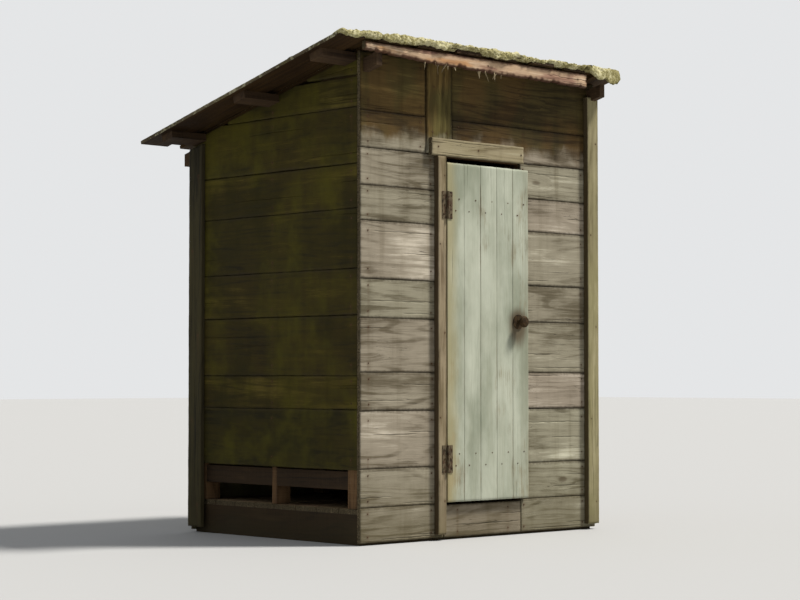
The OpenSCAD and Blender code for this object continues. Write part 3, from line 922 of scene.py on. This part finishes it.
def lay_roof(layer, boards, face, seed, inset, ragged, row_shift, short):
    """Lays one layer of the roof. Each board falls short of the slope's ends by chance, by up to short."""
    stack = new_boards()
    for i, (x0, x1) in enumerate(boards):
        start = roof_rng.uniform(0.012, short[0])
        end = slope_length - roof_rng.uniform(0.008, short[1])
        nails = [(u + row_shift, x) for u in nail_rows for x in (x0 + nail_edge, x1 - nail_edge)]
        add_board(
            stack, on_roof, (start, end), (x0 + inset, x1 - inset), roof_thick, seed + i, face=face,
            wave=0.0022, ragged=ragged, splits=3, split_depth=0.009, run=(0, 0), cup=0.0005, nails=nails)
    join_boards(
        f"roof_planks_{layer}", stack, roof_wood, "roof_boards", f"roof_boards_{layer}", ends=shaded_dark_ends)


lay_roof("lower", ranges_of("roof_boards_lower"), lower_face, 700, 0.003, 0.009, 0.0, (0.032, 0.03))
lay_roof("upper", cover_boards, upper_face, 720, 0.002, 0.01, 0.03, (0.036, 0.035))

# Moss. Cushions have grown in the troughs beside the cover boards, and a thick mat hangs over the
# boards' front ends, longest at the right. It is dry, straw-green above and olive in its folds.


def rough_ground(a, b, size, seed, octaves=4):
    """Uneven ground from about -1 to 1, in lumps of a given size with smaller ones on them."""
    rng = np.random.default_rng(seed)
    total, whole = np.zeros_like(a), 0.0
    for k in range(octaves):
        table = rng.uniform(-1, 1, (64, 64))
        angle = rng.uniform(0, math.pi)
        p = (a * math.cos(angle) - b * math.sin(angle)) / size + rng.uniform(0, 64)
        q = (a * math.sin(angle) + b * math.cos(angle)) / size + rng.uniform(0, 64)
        i, j = np.floor(p).astype(int), np.floor(q).astype(int)
        s, t = (p - i) ** 2 * (3 - 2 * (p - i)), (q - j) ** 2 * (3 - 2 * (q - j))
        near = table[i % 64, j % 64] * (1 - s) + table[(i + 1) % 64, j % 64] * s
        far = table[i % 64, (j + 1) % 64] * (1 - s) + table[(i + 1) % 64, (j + 1) % 64] * s
        total += (near * (1 - t) + far * t) * 0.5 ** k
        whole += 0.5 ** k
        size /= 2.1
    return total * 1.6 / whole


def board_level(v, soft=0.004):
    """The height of the boards' faces at a place across the roof, with the steps a little softened."""
    level = np.full_like(v, lower_face)
    for x0, x1 in cover_boards:
        inside = np.clip((v - x0) / soft, 0, 1) * np.clip((x1 - v) / soft, 0, 1)
        level += inside * (upper_face - lower_face)
    return level


def new_piece(name, points, faces, material):
    """A smooth mesh as a piece of its own on the house."""
    mesh = bpy.data.meshes.new(name)
    mesh.from_pydata(points.tolist(), [], faces.tolist())
    mesh.polygons.foreach_set("use_smooth", np.ones(len(mesh.polygons), bool))
    mesh.materials.append(material)
    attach(new_object(name, mesh), "house")


def moss_material(name, tones):
    """Dry moss, of patches, tufts and fine hairs."""
    material, place = new_material(name)
    pale, mid, dark = [shade(*tone) for tone in tones]
    tufts = cloud(place, 70.0, 4.0, 0.6)
    hairs = cloud(place, 420.0, 3.0, 0.6)
    tone = cloud(place, 8.0, 5.0, 0.6) * 1.1 + tufts * 0.8 + hairs * 0.4
    colour = mix(fade(tone, 0.88, 1.16), dark, mid)
    colour = mix(fade(tone, 1.1, 1.36), colour, pale)
    close_material(colour, hairs * 0.7 + tufts, 0.95, bump=0.9, depth=0.006, shine=0.08)
    return material


moss = moss_material("moss", ((167, 160, 113), (114, 107, 63), (62, 57, 30)))
straw_moss = moss_material("straw_moss", ((211, 204, 162), (156, 148, 101), (80, 73, 40)))

# The carpet in the troughs. It is kept where it is alive, and sinks under the boards elsewhere
moss_cell = 0.0078
moss_u, moss_v = np.meshgrid(
    np.arange(0.05, slope_length - 0.025, moss_cell),
    np.arange(roof_low.x + 0.012, roof_high.x - 0.012, moss_cell), indexing="ij")
ground = board_level(moss_v)
to_cover = np.min([np.abs(moss_v - x) for pair in cover_boards for x in pair], 0)
on_cover = ground > (lower_face + upper_face) / 2
growth = (
    0.6 * rough_ground(moss_u * 0.7, moss_v, 0.36, 31) + 0.4 * rough_ground(moss_u, moss_v, 0.1, 32)
    - np.where(on_cover, 0.36, 0.3) + np.where(on_cover, 0.1, 0.5) * np.exp(-to_cover / 0.03)
    + 0.8 * np.exp(-moss_u / 0.09) + 0.3 * np.exp(-(slope_length - moss_u) / 0.12))
cushions = 0.8 + 0.35 * rough_ground(moss_u, moss_v, 0.03, 33, 3)
deepest = np.where(on_cover, 0.013, 0.024)
thick = np.where(growth > 0, deepest * np.clip(growth, 0, 1) ** 0.55 * cushions, 0.05 * growth)
moss_w = ground + thick
headroom = 0.024 + moss_u * math.tan(pitch)
moss_points = np.stack(on_roof(moss_u, moss_v, np.minimum(moss_w, headroom)), -1).reshape(-1, 3)
alive = growth > -0.03
keep = alive[:-1, :-1] | alive[1:, :-1] | alive[1:, 1:] | alive[:-1, 1:]
moss_faces = grid_faces(moss_u.shape)[keep][:, ::-1]
used, back = np.unique(moss_faces.ravel(), return_inverse=True)
new_piece("moss_carpet", moss_points[used], back.reshape(-1, 4), moss)

# The mat over the front ends: its crest, its hanging foot, and the path from the one to the other
mat_x = np.linspace(roof_low.x + 0.003, roof_high.x - 0.003, 360)
crest_places = (-1.03, -0.82, -0.66, -0.1, -0.075, -0.02, 0.22, 0.31, 0.34, 0.48, 0.7, 1.03)
crest_levels = (0.01, 0.011, 0.024, 0.024, 0.017, 0.024, 0.021, 0.024, 0.012, 0.011, 0.015, 0.012)
front_level = board_level(mat_x, 0.012)
flat = np.zeros_like(mat_x)
crest = np.interp(mat_x, crest_places, crest_levels) + 0.006 * rough_ground(mat_x, flat, 0.06, 51) - 0.003
crest = np.maximum(crest, front_level + 0.003)
curtain = np.clip((mat_x - 0.765) / 0.06, 0, 1) * np.clip((roof_high.x + 0.02 - mat_x) / 0.1, 0.45, 1)
hang = 0.012 + 0.022 * rough_ground(mat_x, flat, 0.13, 52) + 0.012 * rough_ground(mat_x, flat, 0.03, 57)
hang = np.clip(hang, -0.002, 0.034) + curtain * (0.052 + 0.016 * rough_ground(mat_x, flat, 0.05, 53))
foot = np.minimum(lower_face - hang, crest - 0.014)
belly = 0.008 + 0.006 * rough_ground(mat_x, flat, 0.1, 54)
back_in = 0.02 + 0.008 * curtain
path = (
    (0.0, flat + 0.15, front_level - 0.005),
    (0.17, flat + 0.09, front_level + 0.003),
    (0.34, flat + 0.035, (front_level + crest) / 2 + 0.002),
    (0.42, flat + 0.014, crest),
    (0.5, belly, crest - 0.012),
    (0.68, belly, (crest + foot) / 2),
    (0.84, belly + 0.002, foot + 0.006),
    (0.9, back_in, foot),
    (1.0, flat + 0.045, flat + lower_face - 0.008),
)
stops, corners_u, corners_w = zip(*path)
steps = np.linspace(0, 1, 40)
mat_u = np.array([np.interp(steps, stops, column) for column in np.array(corners_u).T])
mat_w = np.array([np.interp(steps, stops, column) for column in np.array(corners_w).T])
for _ in range(3):
    for sheet in (mat_u, mat_w):
        sheet[:, 1:-1] = (sheet[:, :-2] + 2 * sheet[:, 1:-1] + sheet[:, 2:]) / 4
run_u, run_w = np.gradient(mat_u, axis=1), np.gradient(mat_w, axis=1)
length = np.hypot(run_u, run_w) + 1e-9
travel = np.cumsum(length, 1)
grid_x = np.repeat(mat_x[:, None], len(steps), 1)
lift = 0.0058 * rough_ground(grid_x, travel, 0.045, 55) + 0.0024 * rough_ground(grid_x, travel, 0.012, 56, 2)
lift *= np.clip(np.minimum(steps, 1 - steps) / 0.15, 0, 1)
mat_u = mat_u + lift * run_w / length
mat_w = mat_w - lift * run_u / length
to_end = np.minimum(mat_x - mat_x[0], mat_x[-1] - mat_x)
shut = np.sqrt(1 - (1 - np.clip(to_end / 0.022, 0, 1)) ** 2)[:, None] * 0.99 + 0.01
core_u, core_w = 0.05, lower_face - 0.006
mat_u, mat_w = core_u + (mat_u - core_u) * shut, core_w + (mat_w - core_w) * shut
mat_points = np.stack(on_roof(mat_u, grid_x, mat_w), -1)
front_limit, top_limit = packed_box[0][1], packed_box[1][2]
limit_in = 0.0006
mat_points[..., 1] = np.maximum(mat_points[..., 1], front_limit + limit_in)
mat_points[..., 2] = np.minimum(mat_points[..., 2], top_limit - limit_in)
new_piece("moss_mat", mat_points.reshape(-1, 3), grid_faces(grid_x.shape).reshape(-1, 4), straw_moss)


def new_tree(name, **numbers):
    """A tree for repeated small things, which takes a mesh of points and some named numbers."""
    return new_group(name, {"Mesh": None, **numbers}, {"Mesh": "Geometry"}, "GeometryNodeTree")


def grow(name, tree, points, body="house", facing=None, **values):
    """Runs a tree of small things on points and keeps the result as a plain mesh on its body."""
    roots = bpy.data.meshes.new(name + "_points")
    roots.from_pydata(np.array(points).tolist(), [], [])
    if facing is not None:
        ways = roots.attributes.new("facing", "FLOAT_VECTOR", "POINT")
        ways.data.foreach_set("vector", np.array(facing, np.float32).ravel())
    holder = new_object(name + "_source", roots)
    modifier = holder.modifiers.new("grow", "NODES")
    modifier.node_group = tree
    for item in tree.interface.items_tree:
        if item.in_out == "INPUT" and item.name in values:
            modifier[item.identifier] = values[item.name]
    bpy.context.view_layer.update()
    graph = bpy.context.evaluated_depsgraph_get()
    mesh = bpy.data.meshes.new_from_object(holder.evaluated_get(graph), depsgraph=graph)
    mesh.name = name
    bpy.data.objects.remove(holder)
    piece = new_object(name, mesh)
    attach(piece, body)
    return piece


def chance(low, high, seed):
    """A random number or point for each root, between two values."""
    on_points = isinstance(high, tuple)
    n = seed.tree.nodes.new("FunctionNodeRandomValue")
    n.data_type = "FLOAT_VECTOR" if on_points else "FLOAT"
    first = 0 if on_points else 2
    feed(n.inputs[first], low)
    feed(n.inputs[first + 1], high)
    feed(n.inputs["Seed"], seed)
    return Measure(n.outputs[0 if on_points else 1])


def bend(thing, scale, detail, reach):
    """Pushes a small thing out of shape by noise, by up to half of reach in each direction."""
    noise = add_node(thing.tree, "ShaderNodeTexNoise", Scale=scale, Detail=detail)["Color"]
    push = (noise - (0.5, 0.5, 0.5)) * reach
    return add_node(thing.tree, "GeometryNodeSetPosition", Geometry=thing, Offset=push)


def set_on_roots(given, thing, turn, size, stuff, smooth=False):
    """Sets the small thing on every root, turned and sized, as real faces with their material."""
    tree = given.tree
    roots = add_node(tree, "GeometryNodeMeshToPoints", Mesh=given["Mesh"])
    things = add_node(
        tree, "GeometryNodeInstanceOnPoints", Points=roots, Instance=thing, Rotation=turn, Scale=size)
    real = add_node(tree, "GeometryNodeRealizeInstances", Geometry=things)
    if smooth:
        real = add_node(tree, "GeometryNodeSetShadeSmooth", Geometry=real)
    painted = add_node(tree, "GeometryNodeSetMaterial", Geometry=real, Material=stuff)
    add_node(tree, "NodeGroupOutput", Mesh=painted)
    return tree


def make_tuft_tree(name, stuff):
    """Small uneven tufts set on points, each turned and sized by chance."""
    given = new_tree(name, Smallest=0.004, Largest=0.01, Seed=1)
    ball = add_node(given.tree, "GeometryNodeMeshIcoSphere", Radius=1.0, Subdivisions=2)
    size = chance(given["Smallest"], given["Largest"], given["Seed"])
    turn = chance((-0.6, -0.6, 0.0), (0.6, 0.6, 6.28), given["Seed"])
    tuft = bend(ball, 1.9, 2.0, (1.9, 1.9, 1.5))
    return set_on_roots(given, tuft, turn, point_of(size, size, size * 0.6), stuff, smooth=True)


tuft_rng = np.random.default_rng(41)
likely = np.where(growth > 0.05, np.clip(growth, 0, 0.7), 0) * 0.05
chosen = (tuft_rng.random(growth.shape) < likely) & (moss_w < headroom - 0.006)
tops = np.stack(on_roof(moss_u, moss_v, moss_w - 0.002), -1)[chosen]
tuft_room = 0.009
grow("moss_tufts", make_tuft_tree("moss tufts", moss), tops, Smallest=0.0035, Largest=0.009, Seed=5)

inner = mat_points[4:-4, 6:-6].reshape(-1, 3)
inner = inner[tuft_rng.random(len(inner)) < 0.055]
room = np.minimum(inner[:, 1] - front_limit, top_limit - inner[:, 2])
grow(
    "mat_tufts", make_tuft_tree("mat tufts", straw_moss), inner[room > tuft_room],
    Smallest=0.0018, Largest=0.0055, Seed=9)

# Slivers. Long splinters of weathered wood still hang from the fascia's worn edge in two groups.
# Each is thin and bent, and holds on by its upper end.

sliver_steps = (0.34, 0.405, 0.424, 0.44, 0.482, 0.497, 0.548, 0.725, 0.76, 0.834, 0.845, 0.89)
sliver_wood = timber_material(
    "sliver_timber", "z", tones=((206, 190, 160), (162, 146, 118), (104, 88, 66)))


def make_sliver_tree():
    """A thin bent taper hanging from each point, with its length and lean set by chance."""
    given = new_tree("fascia slivers", Shortest=0.01, Longest=0.05, Breadth=0.006, Seed=1)
    taper = add_node(
        given.tree, "GeometryNodeMeshCone", {"fill_type": "NGON"}, Vertices=6, Side_Segments=6,
        Radius_Top=0.08, Radius_Bottom=1.0, Depth=1.0)
    long = chance(given["Shortest"], given["Longest"], given["Seed"])
    lean = chance((2.84, -0.5, 0.0), (3.44, 0.5, 6.28), given["Seed"])
    broad = chance(given["Breadth"] * 0.5, given["Breadth"], given["Seed"] + 3.0)
    return set_on_roots(
        given, bend(taper, 2.2, 1.0, (1.6, 1.2, 0.0)), lean, point_of(broad, broad * 0.4, long), sliver_wood)


sliver_x = np.array([left_x + step for step in sliver_steps])
sliver_y = fascia_low.y + 0.012 + 0.004 * np.sin(sliver_x * 71)
slivers = grow(
    "fascia_slivers", make_sliver_tree(), np.stack([sliver_x, sliver_y, fascia_edge(sliver_x) + 0.008], 1),
    Shortest=0.018, Longest=0.066, Breadth=0.012, Seed=4)

# Hinges. Two wrought butt hinges hang the door on the casing, each a pair of leaves with three
# knuckles on a pin, thick with rust. Each leaf is held by three slotted screws.


def rust_material(name, tones, paint=None):
    """Rust, with what is left of a coat of paint where paint is given."""
    material, place = new_material(name)
    pale, mid, dark = [shade(*tone) for tone in tones]
    broad = cloud(place, 28.0, 4.0, 0.65)
    grit = cloud(place, 260.0, 3.0, 0.6)
    colour = mix(fade(broad, 0.36, 0.55), dark, mid)
    colour = mix(fade(grit, 0.5, 0.68, 0.0, 0.7), colour, pale)
    height = grit * 0.8 + broad
    if paint is not None:
        held = fade(cloud(place, (75.0, 75.0, 40.0), 4.0, 0.65), 0.46, 0.52)
        colour = mix(held * 0.6, colour, paint)
        height = held * 0.5 + height
    close_material(colour, height, fade(grit, 0.3, 0.7, 0.62, 0.9), bump=0.6, depth=0.0012, metal=0.25)
    return material


rusty = rust_material("rusty_iron", ((112, 78, 54), (80, 60, 44), (46, 38, 30)))
hinge_iron = rust_material("hinge_iron", ((100, 76, 54), (74, 57, 42), (46, 37, 29)), shade(112, 102, 80))
dress(["hinge_top_frame", "hinge_bottom_frame", "hinge_top_door", "hinge_bottom_door"], hinge_iron)

# Door. Five upright boards under a thin pale grey-green paint that the weather has worn through,
# with a yellow stain down the hinge side. Two ledges and a brace hold them at the back.

door_low, door_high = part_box("door_boards")
knob_low, knob_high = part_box("door_knob")
door_count = 5
door_joint = 0.0004
door_step = (door_high.x - door_low.x) / door_count
ledge_rows = [(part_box(n)[0].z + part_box(n)[1].z) / 2 for n in ("door_ledge_bottom", "door_ledge_top")]
door_stack = new_boards()
for i in range(door_count):
    x0 = door_low.x + i * door_step
    spots = ((-0.03, 0.3 if i else 0.5), (0.03, 0.7))
    nails = [(z + up, x0 + d * door_step) for z in ledge_rows for up, d in spots]
    add_board(
        door_stack, lambda u, v, w: (v, door_low.y - w, u), (door_low.z + 0.001, door_high.z - 0.001),
        (x0 + door_joint, x0 + door_step - door_joint), door_high.y - door_low.y - 0.001, 800 + i,
        face=-0.0006 - 0.0003 * (i % 2), wave=0.0003, edge=0.0012, ragged=0.002, splits=1,
        split_depth=0.003, run=(-1, 0), body="door", nails=nails)


def worn_paint(place, colour, height, rough):
    """Thin old paint: rubbed through along the fibres and low down, stained by the hinges and the knob."""
    x, z = part(place, "X"), part(place, "Z")
    fine = cloud(grain_of(place.tree), (4.0, 150.0, 1.0), 4.0, 0.65)
    broad = cloud(place, (5.0, 5.0, 2.6), 5.0, 0.6)
    hold = fine * 0.5 + broad - fade(z, door_low.z, door_low.z + 0.5, 0.13, 0.0)
    hold = hold - fade(kept(place.tree, "rim"), 0.0, 0.004, 0.16, 0.0)
    share = fade(hold, 0.47, 0.66)
    cloudy = cloud(place, (3.0, 3.0, 1.2), 5.0, 0.6)
    paint = mix(fade(cloudy, 0.32, 0.68), shade(136, 142, 123), shade(190, 194, 176))
    wipe = cloud(place, (26.0, 26.0, 1.3), 3.0, 0.6)
    paint = mix(fade(wipe, 0.45, 0.85, 0.0, 0.4), paint, shade(136, 137, 115))
    painted = mix(share * 0.92, colour, paint)
    shaken = (broad - 0.5) * 0.11 + x
    yellow = fade(shaken, door_low.x + 0.01, door_low.x + 0.1, 0.55, 0.0)
    painted = mix(yellow, painted, shade(160, 145, 98))
    edge = fade(shaken, door_high.x - 0.08, door_high.x - 0.005, 0.0, 0.35)
    painted = mix(edge, painted, shade(122, 119, 97))
    # Rust from the knob has soaked in round its plate and run down a little
    below = (knob_low.z + knob_high.z) / 2 - z
    below = below * (1.0 - calc("GREATER_THAN", below, 0.0) * 0.45)
    beside = x - (knob_low.x + knob_high.x) / 2
    away = calc("SQRT", calc("POWER", below, 2.0) + calc("POWER", beside, 2.0)) + (fine - 0.5) * 0.03
    painted = mix(fade(away, 0.038, 0.095, 0.8, 0.0), painted, shade(80, 62, 41))
    return painted, share * 0.3 + height, rough - share * 0.14


door_wood = board_material(
    "door_wood", ((178, 172, 150), (146, 140, 118), (106, 98, 77)), joints=0.15, runs=0.15, foot=0.0,
    knots=0.4, checks=0.5, over=worn_paint)
join_boards("door_planks", door_stack, door_wood, "door_paint", "door_boards", body="door")

worn_tones = ((138, 121, 96), (104, 88, 67), (62, 51, 37))
dress(["door_ledge_top", "door_ledge_bottom"], timber_material("ledge_timber", "x", tones=worn_tones))
brace_low, brace_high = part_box("door_brace")
brace_width = 0.11
brace_angle = math.atan2(brace_high.z - brace_low.z, brace_high.x - brace_low.x - brace_width)
dress(["door_brace"], timber_material("brace_timber", "x", brace_angle, worn_tones))

# Knob. A turned iron knob on a round plate, dull brown with rust, rubbed a little darker where
# hands have held it.

knob_iron = rust_material("knob_iron", ((92, 66, 40), (60, 47, 28), (33, 27, 17)))
dress(["door_knob"], knob_iron)

# Nails and screws. Round wire nails hold every board, driven nearly flush and rusted, and the
# hinge leaves have countersunk screws with a slot.


def make_head_tree(name, head_of, radius, lean, iron):
    """A head on each point, facing as the board or leaf there faces, with a small random lean and turn."""
    given = new_tree(name, Radius=radius, Seed=1)
    tree, seed = given.tree, given["Seed"]
    facing = add_node(tree, "GeometryNodeInputNamedAttribute", {"data_type": "FLOAT_VECTOR"}, Name="facing")
    jog = chance((-lean,) * 3, (lean,) * 3, seed)
    aim = add_node(tree, "FunctionNodeAlignRotationToVector", {"axis": "Z"}, Vector=facing + jog)
    spin = add_node(
        tree, "FunctionNodeAxisAngleToRotation", Axis=(0.0, 0.0, 1.0), Angle=chance(0.0, 3.14, seed))
    turned = add_node(
        tree, "FunctionNodeRotateRotation", {"rotation_space": "LOCAL"}, Rotation=aim, Rotate_By=spin)
    size = chance(given["Radius"] * 0.9, given["Radius"] * 1.15, seed)
    return set_on_roots(given, head_of(tree), turned, size, iron)


def nail_head(tree, sides=10):
    """A low round head of radius one."""
    return add_node(
        tree, "GeometryNodeMeshCylinder", {"fill_type": "NGON"}, Vertices=sides, Radius=1.0, Depth=0.5)


def screw_head(tree):
    """A round head with a slot cut across it."""
    bar = add_node(tree, "GeometryNodeMeshCube", Size=(2.4, 0.3, 0.5))
    raised = add_node(tree, "GeometryNodeTransform", Geometry=bar, Translation=(0.0, 0.0, 0.3))
    settings = {"operation": "DIFFERENCE", "solver": "EXACT"}
    return add_node(tree, "GeometryNodeMeshBoolean", settings, Mesh_1=nail_head(tree, 20), Mesh_2=raised)


def fix_heads(name, places, tree, radius, seed):
    """Grows heads on the places of each body, where a place is a point and the way it faces."""
    for body, spots in places.items():
        points, facing = zip(*spots)
        grow(f"{name}_{body}", tree, points, body, facing, Radius=radius, Seed=seed)


fix_heads("nails", nail_places, make_head_tree("nail heads", nail_head, 0.0035, 0.12, rusty), 0.0036, 3)

# Where the leaves lie: their thickness is the gap from the frame piece to the casing or the door
screw_in = 0.0125
stagger = 0.0035
screw_rows = ((0.16, -1), (0.5, 1), (0.84, -1))
leaf_thick = 0.003
screw_places = {"house": [], "door": []}
for body, leaf, board_y in (("house", "frame", casing[0].y), ("door", "door", door_low.y)):
    for level in ("top", "bottom"):
        low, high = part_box(f"hinge_{level}_{leaf}")
        for share, way in screw_rows:
            inward = screw_in + way * stagger
            x = low.x + inward if leaf == "frame" else high.x - inward
            spot = (x, board_y - leaf_thick, low.z + (high.z - low.z) * share)
            screw_places[body].append((spot, (0.0, -1.0, 0.0)))
screw_tree = make_head_tree("screw heads", screw_head, 0.0042, 0.04, knob_iron)
fix_heads("screws", screw_places, screw_tree, 0.0042, 7)

# Studio. A plain pale floor, an even sky, a soft lamp from the front right as in the photograph,
# and the camera low at the front left corner.

floor_reach = 60.0
floor_mesh = bpy.data.meshes.new("studio_floor")
floor_corners = [(x * floor_reach, y * floor_reach, 0) for x, y in ((-1, -1), (1, -1), (1, 1), (-1, 1))]
floor_mesh.from_pydata(floor_corners, [], [(0, 1, 2, 3)])
floor_material = bpy.data.materials.new("studio_floor")
floor_material.use_nodes = True
floor_tree = floor_material.node_tree
floor_tree.nodes.clear()
floor_body = add_node(
    floor_tree, "ShaderNodeBsdfPrincipled", Base_Color=(0.42, 0.42, 0.415, 1.0), Roughness=0.9)
add_node(floor_tree, "ShaderNodeOutputMaterial", Surface=floor_body)
floor_mesh.materials.append(floor_material)
new_object("studio_floor", floor_mesh)

world = bpy.data.worlds.new("studio")
bpy.context.scene.world = world
world.use_nodes = True
sky = world.node_tree
sky.nodes.clear()
rays = add_node(sky, "ShaderNodeLightPath")
through = calc("MAXIMUM", rays["Is Glossy Ray"], rays["Is Transmission Ray"])
choose = add_node(sky, "ShaderNodeMixShader", Fac=calc("MAXIMUM", rays["Is Camera Ray"], through))
lighting = add_node(sky, "ShaderNodeBackground", Color=(0.93, 0.96, 1.0, 1.0), Strength=0.4)
backdrop = add_node(sky, "ShaderNodeBackground", Color=(0.78, 0.79, 0.8, 1.0), Strength=1.0)
feed(choose.socket.node.inputs[1], lighting)
feed(choose.socket.node.inputs[2], backdrop)
add_node(sky, "ShaderNodeOutputWorld", Surface=choose)

lamp = bpy.data.lights.new("soft_lamp", "SUN")
lamp.energy = 4.8
lamp.angle = math.radians(9)
lamp.color = (1.0, 0.97, 0.92)
lamp_object = new_object("soft_lamp", lamp)
lamp_object.rotation_mode = "QUATERNION"
lamp_object.rotation_quaternion = Vector((0.42, -0.345, 0.84)).to_track_quat("Z", "Y")

camera = bpy.data.cameras.new("camera")
camera.sensor_width = 36.0
camera.lens = 91.79
camera_object = new_object("camera", camera)
camera_place = Vector((-7.475, -8.075, 0.82))
camera_aim = Vector((0.13, 0.0, 1.245))
camera_object.location = camera_place
camera_object.rotation_mode = "QUATERNION"
camera_object.rotation_quaternion = (camera_aim - camera_place).to_track_quat("-Z", "Y")
bpy.context.scene.camera = camera_object
bpy.context.scene.view_settings.view_transform = "Standard"
